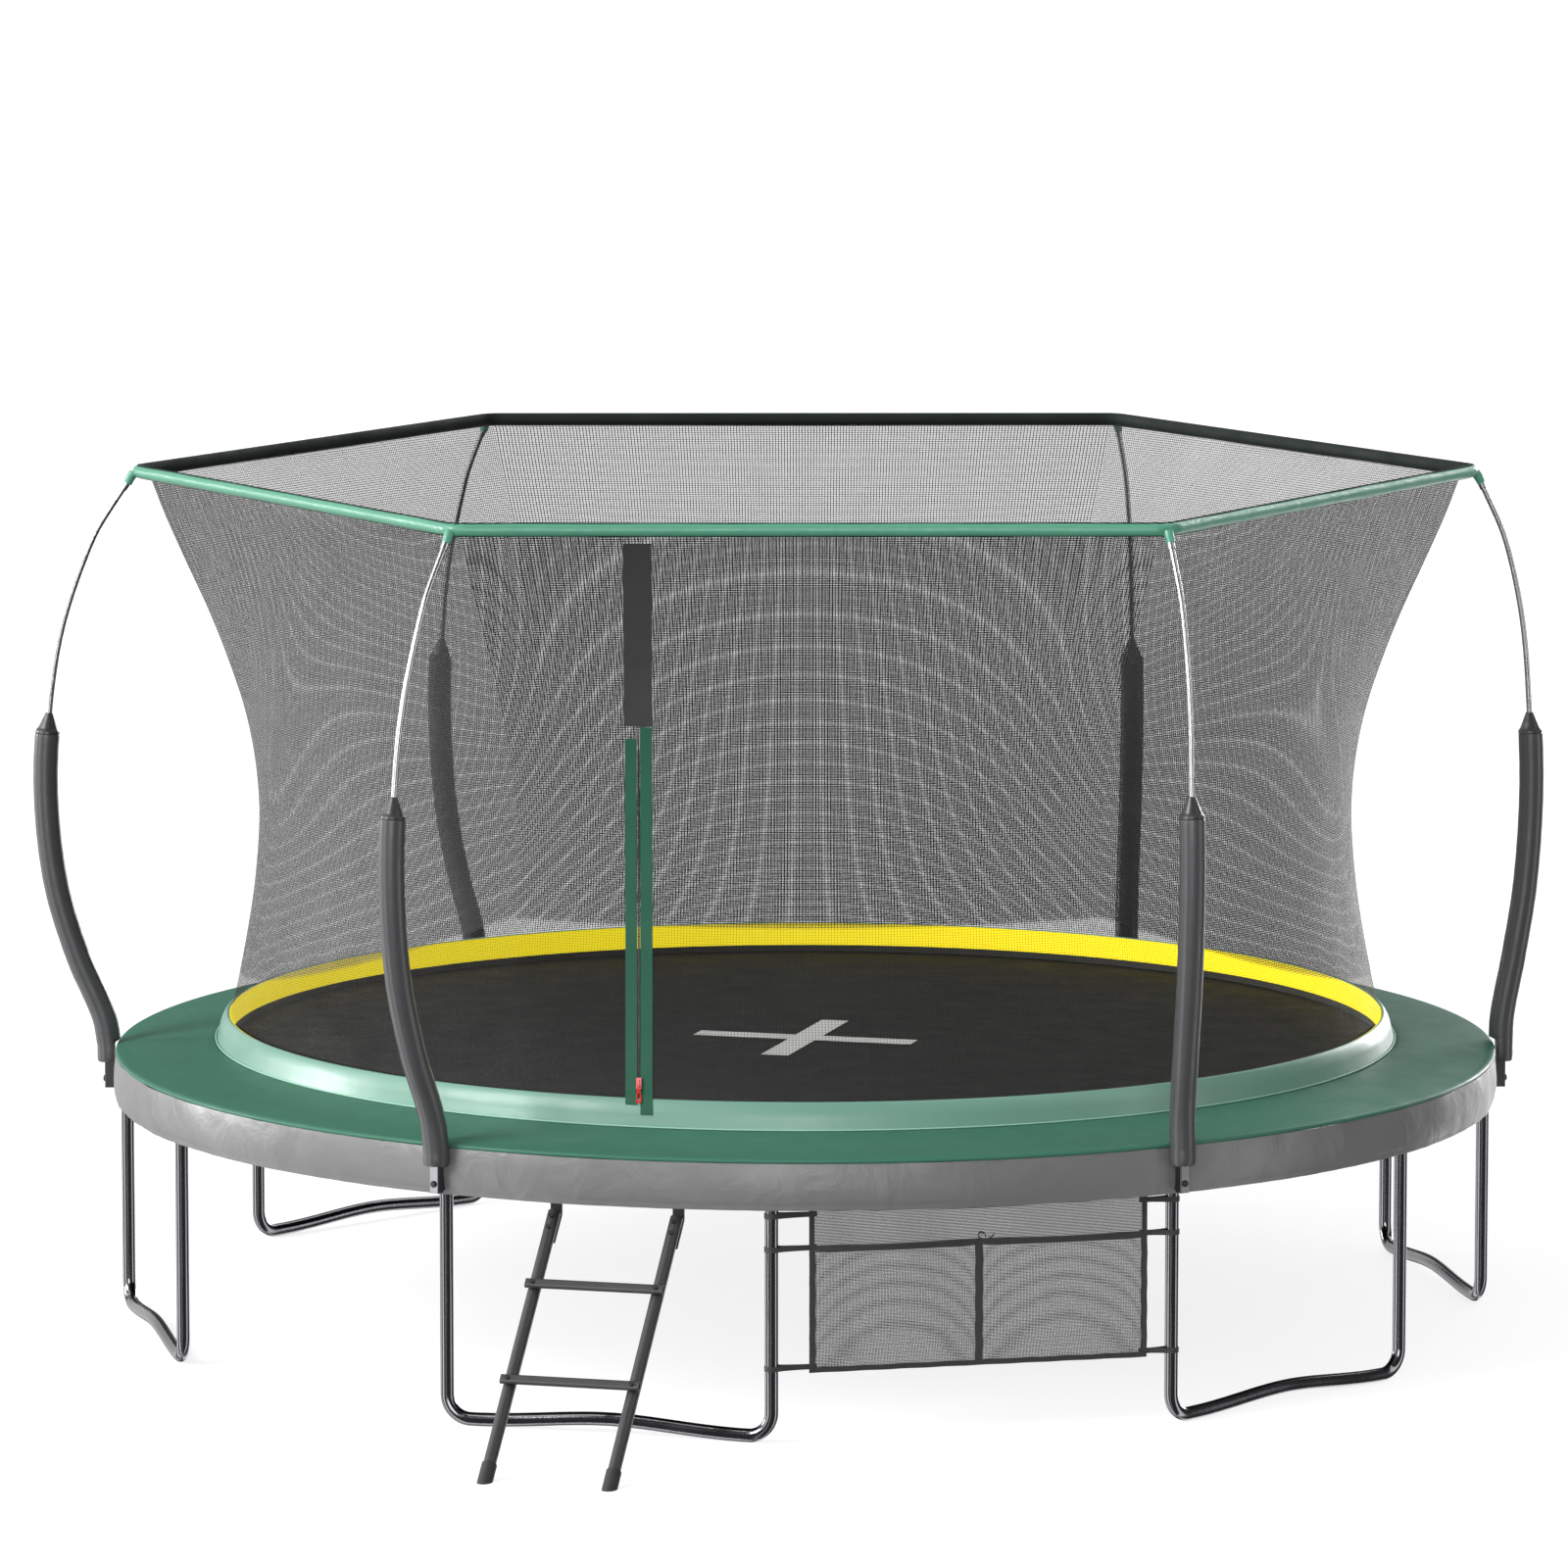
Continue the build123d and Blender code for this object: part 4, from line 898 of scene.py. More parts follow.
@dataclass
class TopRing:
    """Cloth sleeve round the six rods, with a dark hem sewn along its inside."""

    radius: float = 0.017
    tip_lean: float = -0.002
    cuff_line: Tuple[Tuple[float, float, float], ...] = (
        (1.7915, 2.2120, 0.0108), (1.7878, 2.2190, 0.0112), (1.7840, 2.2260, 0.0118), (1.7795, 2.2335, 0.0124),
        (1.7755, 2.2400, 0.0118))
    hem_from: float = 75.0
    hem_to: float = 262.0

    def path(self) -> List[Vector]:
        """Centre line all the way round, with points close together at the corners."""
        near = [0.0, 0.25, 0.5, 0.75, 1.0, 1.4, 2.0, 3.0, 4.5, 6.5, 9.0, 12.0,
                15.0, 18.0, 21.0, 24.0, 27.0, 30.0]
        one = near + [60.0 - a for a in reversed(near[:-1])]
        angles = [60.0 * k + a for k in range(6) for a in one[:-1]] + [360.0]
        return [polar(RING.hex_radius(a), a, RING.height) for a in angles]

    def build(self) -> None:
        """Build the sleeve with gathers at its corners, and the hem."""
        path = self.path()
        section = [(math.cos(t), math.sin(t)) for t in (math.radians(a) for a in steps(0, 360, 24))]
        rows = []
        for s, t in section:
            flat = sweep(path, [(s * self.radius, t * self.radius)], closed=True)[0]
            row = []
            for i, p in enumerate(flat):
                angle = math.degrees(math.atan2(path[i].y, path[i].x)) % 360.0
                off = abs((angle + 30.0) % 60.0 - 30.0)
                gather = math.exp(-off / 1.6)
                fold = 0.0011 * gather * math.sin(math.radians(angle) * 420 + t * 2.0)
                slack = 0.0005 * math.sin(math.radians(angle) * 31 + s * 3.0)
                row.append(path[i] + (p - path[i]) * (1 + (fold + slack - 0.0008) / self.radius))
            row[-1] = row[0].copy()
            rows.append(row)
        rows[-1] = [p.copy() for p in rows[0]]
        sleeve, _ = grid("ring_sleeve_cloth", rows, closed_u=True, closed_v=True)
        seat(sleeve, "sleeve_mint", "root", ["ring_sleeve"])
        arc = [(math.cos(math.radians(a)) * (self.radius + 0.0006), math.sin(math.radians(a))
                * (self.radius + 0.0006)) for a in steps(self.hem_from, self.hem_to, 16)]
        inside = [(s, t) for s, t in arc]
        side = sweep(path, [(0.01, 0.0)], closed=True)[0][0] - path[0]
        if side.x > 0:
            hem_rows = sweep(path, inside, closed=True)
        else:
            hem_rows = sweep(path, [(-s, t) for s, t in inside], closed=True)
        for row in hem_rows:
            row[-1] = row[0].copy()
        hem, cut = grid("ring_hem", hem_rows, closed_u=True)
        modifier(hem, "SOLIDIFY", thickness=0.0010, offset=0.0)
        outwards(hem)
        soften(hem)
        seat(hem, "web_black", "root", finish="hem_dark")
        for k in range(6):
            self.cuff(k + 1, 60.0 * k)

    def cuff(self, number: int, angle: float) -> None:
        """Short cloth cuff that leads a pole's tip into the sleeve."""
        out, side = polar(1.0, angle, 0.0), polar(1.0, angle + 90.0, 0.0)
        lean = Vector((self.tip_lean, 0, 0))
        rows = []
        for i, (r, z, wide) in enumerate(self.cuff_line):
            near = self.cuff_line[min(i + 1, len(self.cuff_line) - 1)], self.cuff_line[max(i - 1, 0)]
            way = (out * (near[0][0] - near[1][0]) + Vector((0, 0, near[0][1] - near[1][1]))).normalized()
            front = side.cross(way).normalized()
            row = [polar(r, angle, z) + lean + (front * math.cos(t) + side * math.sin(t))
                   * wide * (1 + 0.02 * math.sin(5 * t + i)) for t in (math.radians(a) for a in steps(0, 360, 24))]
            row[-1] = row[0].copy()
            rows.append(row)
        cuff, cut = grid(f"ring_cuff_{number}", rows, closed_u=True)
        modifier(cuff, "SOLIDIFY", thickness=0.0008, offset=0.0)
        outwards(cuff)
        soften(cuff)
        seat(cuff, "sleeve_mint", "root")


@dataclass
class Rim:
    """Pad, collar, piping, inner band, drop strip and skirt round the jumping mat."""

    puff: float = 0.0009
    skirt: Tuple[Tuple[float, float], ...] = (
        (0.588, 1.833), (0.610, 1.838), (0.640, 1.8405), (0.680, 1.838), (0.698, 1.8352), (0.7055, 1.8335))
    slot_half: float = 0.012
    slot_z: Tuple[float, float] = (0.599, 0.637)

    def ring(self, name: str, profile: Callable[[float, float], Tuple[float, float]], around: int,
             along: int) -> Tuple[bpy.types.Object, Cut]:
        """Closed ring turned from a closed profile.

        Args:
            name: the object's name.
            profile: gives radius and height from an angle and a share round the profile.
            around: number of steps round the axis.
            along: number of steps round the profile.
        Returns:
            The object and its flat size.
        """
        rows = []
        for v in steps(0.0, 1.0, along):
            v = v % 1.0
            row = [polar(profile(a, v)[0], a, profile(a, v)[1]) for a in steps(0, 360, around)]
            row[-1] = row[0].copy()
            rows.append(row)
        return grid(name, rows, closed_u=True, closed_v=True)

    def pad_profile(self, angle: float, v: float) -> Tuple[float, float]:
        """Crowned pad, thicker at its rounded outer edge, with faint puckers along the seam."""
        seam = RIM.seam_r + 0.0008
        knots = [(0.0, seam, 0.7330), (0.04, seam, 0.7405), (0.08, 1.578, 0.7425), (0.20, 1.640, 0.7370),
                 (0.34, 1.740, 0.7285), (0.44, 1.806, 0.7215), (0.50, 1.824, 0.7185), (0.54, 1.8325, 0.7155),
                 (0.57, 1.8357, 0.7115), (0.60, 1.8335, 0.7070), (0.64, 1.826, 0.7043), (0.74, 1.760, 0.7110),
                 (0.90, 1.640, 0.7250), (1.0, seam, 0.7330)]
        radius = smooth([(k[0], k[1]) for k in knots], v)
        height = smooth([(k[0], k[2]) for k in knots], v)
        if 0.04 < v < 0.5:
            share = (v - 0.04) / 0.46
            turn = math.radians(angle)
            pucker = math.sin(turn * 150) * math.exp(-share * 16) * 0.6
            swell = (math.sin(turn * 12 + 0.6) + 0.5 * math.sin(turn * 29 + 2.0)) * share * (1 - share)
            height += self.puff * (pucker + swell) - 0.0009
        return radius, height

    def collar_profile(self, angle: float, v: float) -> Tuple[float, float]:
        """Convex padded collar with a rounded rim and a straight inside."""
        inner = RIM.collar_in + 0.0008
        knots = [(0.0, inner, 0.7345), (0.06, inner, 0.760), (0.20, inner, 0.796), (0.26, inner + 0.0004, 0.8060),
                 (0.30, 1.5352, 0.8095), (0.34, 1.5385, 0.8107), (0.39, 1.5430, 0.8078), (0.46, 1.5497, 0.7985),
                 (0.58, 1.5570, 0.7820), (0.70, 1.5618, 0.7640), (0.80, 1.5655, 0.7500), (0.86, 1.5670, 0.7430),
                 (0.89, 1.5665, 0.7360), (1.0, inner, 0.7345)]
        radius = smooth([(k[0], k[1]) for k in knots], v)
        height = smooth([(k[0], k[2]) for k in knots], v)
        if 0.34 < v < 0.86:
            share = (v - 0.34) / 0.52
            turn = math.radians(angle)
            swell = (math.sin(turn * 24 + 1.0) + 0.6 * math.sin(turn * 55)) * share * (1 - share) * 0.6
            radius += self.puff * (swell + math.sin(turn * 150) * math.exp(-(1 - share) * 16) * 0.35) - 0.0006
        return radius, height

    def wall(self, name: str, slot: str, node: str, radius: float, z: Tuple[float, float], drape: float) -> None:
        """Upright cloth ring.

        Args:
            name: the piece's name.
            slot: its finish.
            node: the solid it stands for.
            radius: its radius.
            z: its lower and upper edge.
            drape: how far it wanders inwards between its stitches.
        """
        rows = []
        for height in steps(z[0], z[1], 6):
            share = (height - z[0]) / (z[1] - z[0])
            row = [polar(radius - drape * (1 - share) * (0.5 + 0.5 * math.sin(math.radians(a) * 36)), a, height)
                   for a in steps(0, 360, 360)]
            row[-1] = row[0].copy()
            rows.append(row)
        wall, cut = grid(name, rows, closed_u=True)
        modifier(wall, "SOLIDIFY", thickness=0.0012, offset=0.0)
        outwards(wall)
        soften(wall)
        seat(wall, slot, "root", [node])

    def skirt_angles(self) -> List[float]:
        """Angles round the skirt, with a narrow column at each of its six slots."""
        half = math.degrees(self.slot_half / 1.8405)
        one = [-half, half] + [half + (60.0 - 2 * half) * i / 60 for i in range(1, 60)]
        angles = [60.0 * k + a for k in range(6) for a in one]
        return angles + [360.0 - half]

    def build_skirt(self) -> None:
        """Grey skirt with a gathered hem, pressed seams, soft wrinkles and slots for the pole blocks."""
        rng = random.Random(7)
        angles = self.skirt_angles()
        creases = [(rng.uniform(0, 360), rng.uniform(0.5, 2.2), rng.uniform(-1, 1), rng.uniform(-14, 14))
                   for _ in range(150)]
        heights = [0.5885, 0.592, 0.5955, 0.599, 0.605, 0.614, 0.6255, 0.637, 0.648, 0.661, 0.674, 0.687,
                   0.695, 0.7000, 0.7055]
        rows = []
        for z in heights:
            drop = 1 - (z - heights[0]) / (heights[-1] - heights[0])
            row = []
            for a in angles:
                turn = math.radians(a)
                wave = 0.0011 * math.sin(turn * 23 + 1.3) + 0.0009 * math.sin(turn * 41 + z * 30)
                wave += 0.0010 * drop**2 * math.sin(turn * 130)
                for at, wide, size, slant in creases:
                    off = (a - at - slant * (z - 0.64) + 180) % 360 - 180
                    if abs(off) < 4 * wide:
                        wave += 0.0013 * size * math.exp(-(off / wide) ** 2)
                seam = (a - 15.0) % 30.0
                seam = min(seam, 30.0 - seam)
                wave -= 0.0016 * math.exp(-(seam / 0.35) ** 2)
                wave -= 0.0012 * math.exp(-((z - 0.600) / 0.0025) ** 2)
                near_slot = math.exp(-(((a + 30) % 60 - 30) / 1.5) ** 2)
                row.append(polar(smooth(self.skirt, z) - 0.0008 + wave * (1 - near_slot), a, z))
            row[-1] = row[0].copy()
            rows.append(row)
        skirt, cut = grid("rim_skirt", rows, closed_u=True)
        only(skirt)
        low, high = self.slot_z
        half = math.degrees(self.slot_half / 1.8405)
        pick_none(skirt.data)
        for face in skirt.data.polygons:
            c = face.center
            a = (math.degrees(math.atan2(c.y, c.x)) + 30) % 60 - 30
            if abs(a) < half * 0.9 and low < c.z < high:
                face.select = True
                for i in face.vertices:
                    skirt.data.vertices[i].select = True
        bpy.ops.object.mode_set(mode="EDIT")
        bpy.ops.mesh.select_mode(type="FACE")
        bpy.ops.mesh.delete(type="FACE")
        bpy.ops.object.mode_set(mode="OBJECT")
        modifier(skirt, "SOLIDIFY", thickness=0.0012, offset=0.0)
        outwards(skirt)
        soften(skirt, 50)
        seat(skirt, "skirt_grey", "root", ["pad_skirt"])

    def build(self) -> None:
        """Build every cloth piece of the rim."""
        pad, _ = self.ring("rim_pad", self.pad_profile, 900, 44)
        seat(pad, "pad_green", "root", ["frame_pad"])
        collar, _ = self.ring("rim_collar", self.collar_profile, 900, 40)
        seat(collar, "collar_mint", "root", ["pad_collar"])
        centre = (RIM.seam_r + 0.0016, RIM.seam_z + 0.0031)

        def cord(angle: float, v: float) -> Tuple[float, float]:
            """Round section of the piping."""
            t = 2 * math.pi * v
            thick = 0.0021 + 0.00012 * math.sin(math.radians(angle) * 720)
            return centre[0] + thick * math.cos(t), centre[1] + thick * math.sin(t)

        piping, _ = self.ring("rim_piping", cord, 720, 8)
        seat(piping, "piping_green", "root", ["pad_piping"])
        self.wall("rim_band", "band_yellow", "pad_inner_band", RIM.collar_in - 0.0010, (0.7462, 0.8078),
                  0.0006)
        self.wall("rim_drop_strip", "strip_dark", "pad_drop_strip", RIM.collar_in - 0.0010, (0.7276, 0.7455),
                  0.0004)
        self.build_skirt()


@dataclass
class JumpMat:
    """Woven mat with a sewn edge, its light cross, and the springs that hold it."""

    radius: float = 1.600
    top: float = 0.726
    cross: float = 0.600
    arm: float = 0.074
    turn: float = -16.0
    springs: int = 72
    spring_in: Tuple[float, float] = (1.622, 0.716)
    spring_out: Tuple[float, float] = (1.786, 0.687)
    coil_r: float = 0.0058
    wire_r: float = 0.0013

    def mat(self) -> None:
        """Thin round mat with flat UVs."""
        radii = [0.0005, 0.1, 0.2, 0.35, 0.5, 0.65, 0.8, 0.95, 1.1, 1.25, 1.4, 1.5, 1.556, 1.58, 1.5995]
        rows = [[polar(r, a, self.top - 0.001 - 0.0004 * math.cos(r * 9) * (1.6 - r))
                 for a in steps(0, 360, 144)]
                for r in radii]
        for row in rows:
            row[-1] = row[0].copy()
        mat, _ = grid("jump_mat", rows, closed_u=True, flip=True)
        self.flat_uv(mat)
        modifier(mat, "SOLIDIFY", thickness=0.0015, offset=0.0)
        outwards(mat)
        soften(mat)
        seat(mat, "mat_black", "mat", ["mat"])

    @staticmethod
    def flat_uv(obj: bpy.types.Object) -> None:
        """Lay the UV map flat on the ground plane, in metres."""
        layer = obj.data.uv_layers.active
        for loop in obj.data.loops:
            co = obj.data.vertices[loop.vertex_index].co
            layer.data[loop.index].uv = (co.x, co.y)

    def edge(self) -> None:
        """Webbing ring sewn under the mat's edge."""
        rows = []
        for r in steps(1.5565, 1.5995, 4):
            row = [polar(r, a, self.top - 0.0036 + 0.0003 * math.sin(math.radians(a) * 144)) for a in
                   steps(0, 360, 432)]
            row[-1] = row[0].copy()
            rows.append(row)
        edge, cut = grid("mat_edge_tape", rows, closed_u=True, flip=True)
        modifier(edge, "SOLIDIFY", thickness=0.0022, offset=0.0)
        outwards(edge)
        soften(edge)
        seat(edge, "web_black", "mat", ["mat_edge_webbing"])

    def mark(self) -> None:
        """Plus-shaped patch: a square whose four edges are drawn out into arms."""
        deselect()
        bpy.ops.mesh.primitive_plane_add(size=self.arm, location=(0, 0, self.top + 0.0005))
        mark = bpy.context.active_object
        mark.name = mark.data.name = "mat_cross_patch"
        reach = (self.cross - self.arm) / 2
        set_place(mark)
        half = self.arm / 2
        for way in (Vector((1, 0, 0)), Vector((-1, 0, 0)), Vector((0, 1, 0)), Vector((0, -1, 0))):
            only(mark)
            pick_none(mark.data)
            for edge in mark.data.edges:
                ends = [mark.data.vertices[i].co for i in edge.vertices]
                if all(abs(e.dot(way) - half) < 1e-5 and abs(e.dot(way.yxz)) <= half + 1e-5 for e in ends):
                    edge.select = True
                    for i in edge.vertices:
                        mark.data.vertices[i].select = True
            bpy.ops.object.mode_set(mode="EDIT")
            bpy.ops.mesh.select_mode(type="EDGE")
            bpy.ops.mesh.extrude_edges_move(TRANSFORM_OT_translate={"value": tuple(way * reach)})
            bpy.ops.object.mode_set(mode="OBJECT")
        only(mark)
        bpy.ops.object.mode_set(mode="EDIT")
        bpy.ops.mesh.select_all(action="SELECT")
        bpy.ops.mesh.subdivide(number_cuts=3)
        bpy.ops.object.mode_set(mode="OBJECT")
        mark.data.transform(Matrix.Rotation(math.radians(self.turn), 4, "Z"))
        self.flat_uv(mark)
        area = sum(p.area for p in mark.data.polygons)
        modifier(mark, "SOLIDIFY", thickness=0.0006, offset=0.0)
        outwards(mark)
        seat(mark, "mark_grey", "mat", ["mat_cross_mark"])
        # the cross covers less than FLAT_SHARE_MIN of its square, so a strip of equal area is declared
        assert area < FLAT_SHARE_MIN * self.cross**2

    def coil(self) -> bpy.types.Object:
        """One spring along +X: a wire wound by a screw, with a hook at each end.

        Returns:
            The pattern object at the origin.
        """
        a, b = Vector((self.spring_in[0] + 0.004, 0, self.spring_in[1])), Vector(
            (self.spring_out[0], 0, self.spring_out[1]))
        length = (b - a).length
        turns, steps_turn = 20, 8
        body = length - 0.040
        path = [Vector((-0.002, 0, -0.003)), Vector((-0.003, 0, 0.002)), Vector((0.003, 0, 0.0045)),
                Vector((0.012, 0, 0.002))]
        for i in range(turns * steps_turn + 1):
            t = 2 * math.pi * i / steps_turn
            path.append(Vector((0.020 + body * i / (turns * steps_turn), self.coil_r * math.sin(t),
                                self.coil_r * math.cos(t))))
        path += [Vector((length - 0.012, 0, 0.002)), Vector((length - 0.004, 0, 0.0045)),
                 Vector((length + 0.001, 0, 0.001)), Vector((length, 0, -0.004))]
        rows = []
        n = len(path)
        for k in range(5):
            t = 2 * math.pi * (k % 4) / 4 + 0.4
            row = []
            for i, p in enumerate(path):
                way = (path[min(i + 1, n - 1)] - path[max(i - 1, 0)]).normalized()
                side = way.cross(Vector((0.15, 0.97, 0.2))).normalized()
                row.append(p + side * math.cos(t) * self.wire_r + way.cross(side) * math.sin(t) * self.wire_r)
            rows.append(row)
        wire, _ = grid("spring_pattern", rows, closed_v=True)
        only(wire)
        bpy.ops.object.mode_set(mode="EDIT")
        bpy.ops.mesh.select_all(action="SELECT")
        bpy.ops.mesh.remove_doubles(threshold=MERGE)
        bpy.ops.mesh.select_all(action="DESELECT")
        bpy.ops.mesh.select_mode(type="VERT")
        bpy.ops.mesh.select_non_manifold()
        bpy.ops.mesh.fill_holes(sides=8)
        bpy.ops.mesh.select_all(action="SELECT")
        bpy.ops.mesh.normals_make_consistent(inside=False)
        bpy.ops.object.mode_set(mode="OBJECT")
        way = (b - a).normalized()
        turn = Matrix.Rotation(-math.atan2(way.z, way.x), 4, "Y")
        wire.data.transform(Matrix.Translation(a) @ turn)
        return wire

    def build_springs(self) -> None:
        """Copy the spring round the mat; each stretches between the frame and the mat."""
        pattern = self.coil()
        for i in range(self.springs):
            angle = 360.0 / self.springs * (i + 0.5)
            one = pattern.copy()
            one.data = pattern.data.copy()
            one.name = one.data.name = f"spring_{i + 1:02d}"
            bpy.context.scene.collection.objects.link(one)
            one.data.transform(Matrix.Rotation(math.radians(angle), 4, "Z"))
            dress(one, "spring_steel")
            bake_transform(one)
            if i == 0:
                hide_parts("springs")
        bpy.data.objects.remove(pattern)
        LOG.info("pieces spring_01 to spring_%02d between root and mat", self.springs)

    def build(self) -> None:
        """Build the mat and what is on it."""
        self.mat()
        self.edge()
        self.mark()
        self.build_springs()


@dataclass
class Poles:
    """Foam sleeves that follow the bowed poles."""

    foot_r: float = 1.856
    bend_z: float = 0.706
    foot_z: float = 0.6645
    top_z: float = 1.546
    radius: float = 0.0328
    clear_r: float = 1.8432
    bow: Tuple[Tuple[float, float, float], ...] = (
        (0.706, 1.856, 0.0), (0.790, 1.866, -0.006), (0.950, 1.914, -0.025), (1.150, 1.957, -0.039),
        (1.400, 1.975, -0.044), (1.640, 1.962, -0.041), (1.860, 1.931, -0.031))

    def centre(self, angle: float, z: float) -> Vector:
        """Centre line of a pole at a height."""
        if z <= self.bend_z:
            return polar(self.foot_r, angle, z)
        p = polar(smooth([(k[0], k[1]) for k in self.bow], z), angle, z)
        return p + Vector((smooth([(k[0], k[2]) for k in self.bow], z), 0, 0))

    def foam(self, number: int, angle: float) -> None:
        """One foam sleeve: closed at both ends, pressed flat where it meets the rim."""
        heights = [self.foot_z, self.foot_z + 0.004] + steps(self.foot_z + 0.012, 0.780, 12) + steps(
            0.795, self.top_z - 0.010, 40) + [self.top_z - 0.002, self.top_z]
        out = polar(1.0, angle, 0.0)
        rings = []
        for i, z in enumerate(heights):
            p = self.centre(angle, z)
            way = (self.centre(angle, z + 0.004) - self.centre(angle, z - 0.004)).normalized()
            side = way.cross(out).normalized()
            front = side.cross(way).normalized()
            size = self.radius * (0.93 if i in (0, len(heights) - 1)
                                  else 0.985 if i in (1, len(heights) - 2) else 1)
            size *= 1 + 0.035 * math.exp(-((z - self.foot_z - 0.02) / 0.018) ** 2) * 0.3
            size += 0.0002 * math.sin(z * 240 + angle)
            ring = [p + (front * math.cos(t) + side * math.sin(t)) * size
                    for t in (math.radians(a) for a in steps(0, 360, 28))]
            ring[-1] = ring[0].copy()
            for q in ring:
                r = math.hypot(q.x, q.y)
                if q.z < 0.7235 and r < self.clear_r:
                    q.x, q.y = q.x * self.clear_r / r, q.y * self.clear_r / r
            rings.append(ring)
        for end in (0, -1):
            middle = sum(rings[end][:-1], Vector()) / (len(rings[end]) - 1)
            cap = [middle + (q - middle) * 0.36 for q in rings[end]]
            rings.insert(0, cap) if end == 0 else rings.append(cap)
        foam, _ = grid(f"foam_sleeve_{number}", rings, closed_u=True)
        only(foam)
        bpy.ops.object.mode_set(mode="EDIT")
        bpy.ops.mesh.select_all(action="DESELECT")
        bpy.ops.mesh.select_mode(type="VERT")
        bpy.ops.mesh.select_non_manifold()
        bpy.ops.mesh.fill_holes(sides=40)
        bpy.ops.object.mode_set(mode="OBJECT")
        outwards(foam)
        soften(foam, 35)
        seat(foam, "foam_black", "root", ["pole_foam_sleeves"] if number == 1 else [])

    def build(self) -> None:
        """Build six sleeves."""
        for k in range(6):
            self.foam(k + 1, 60.0 * k)


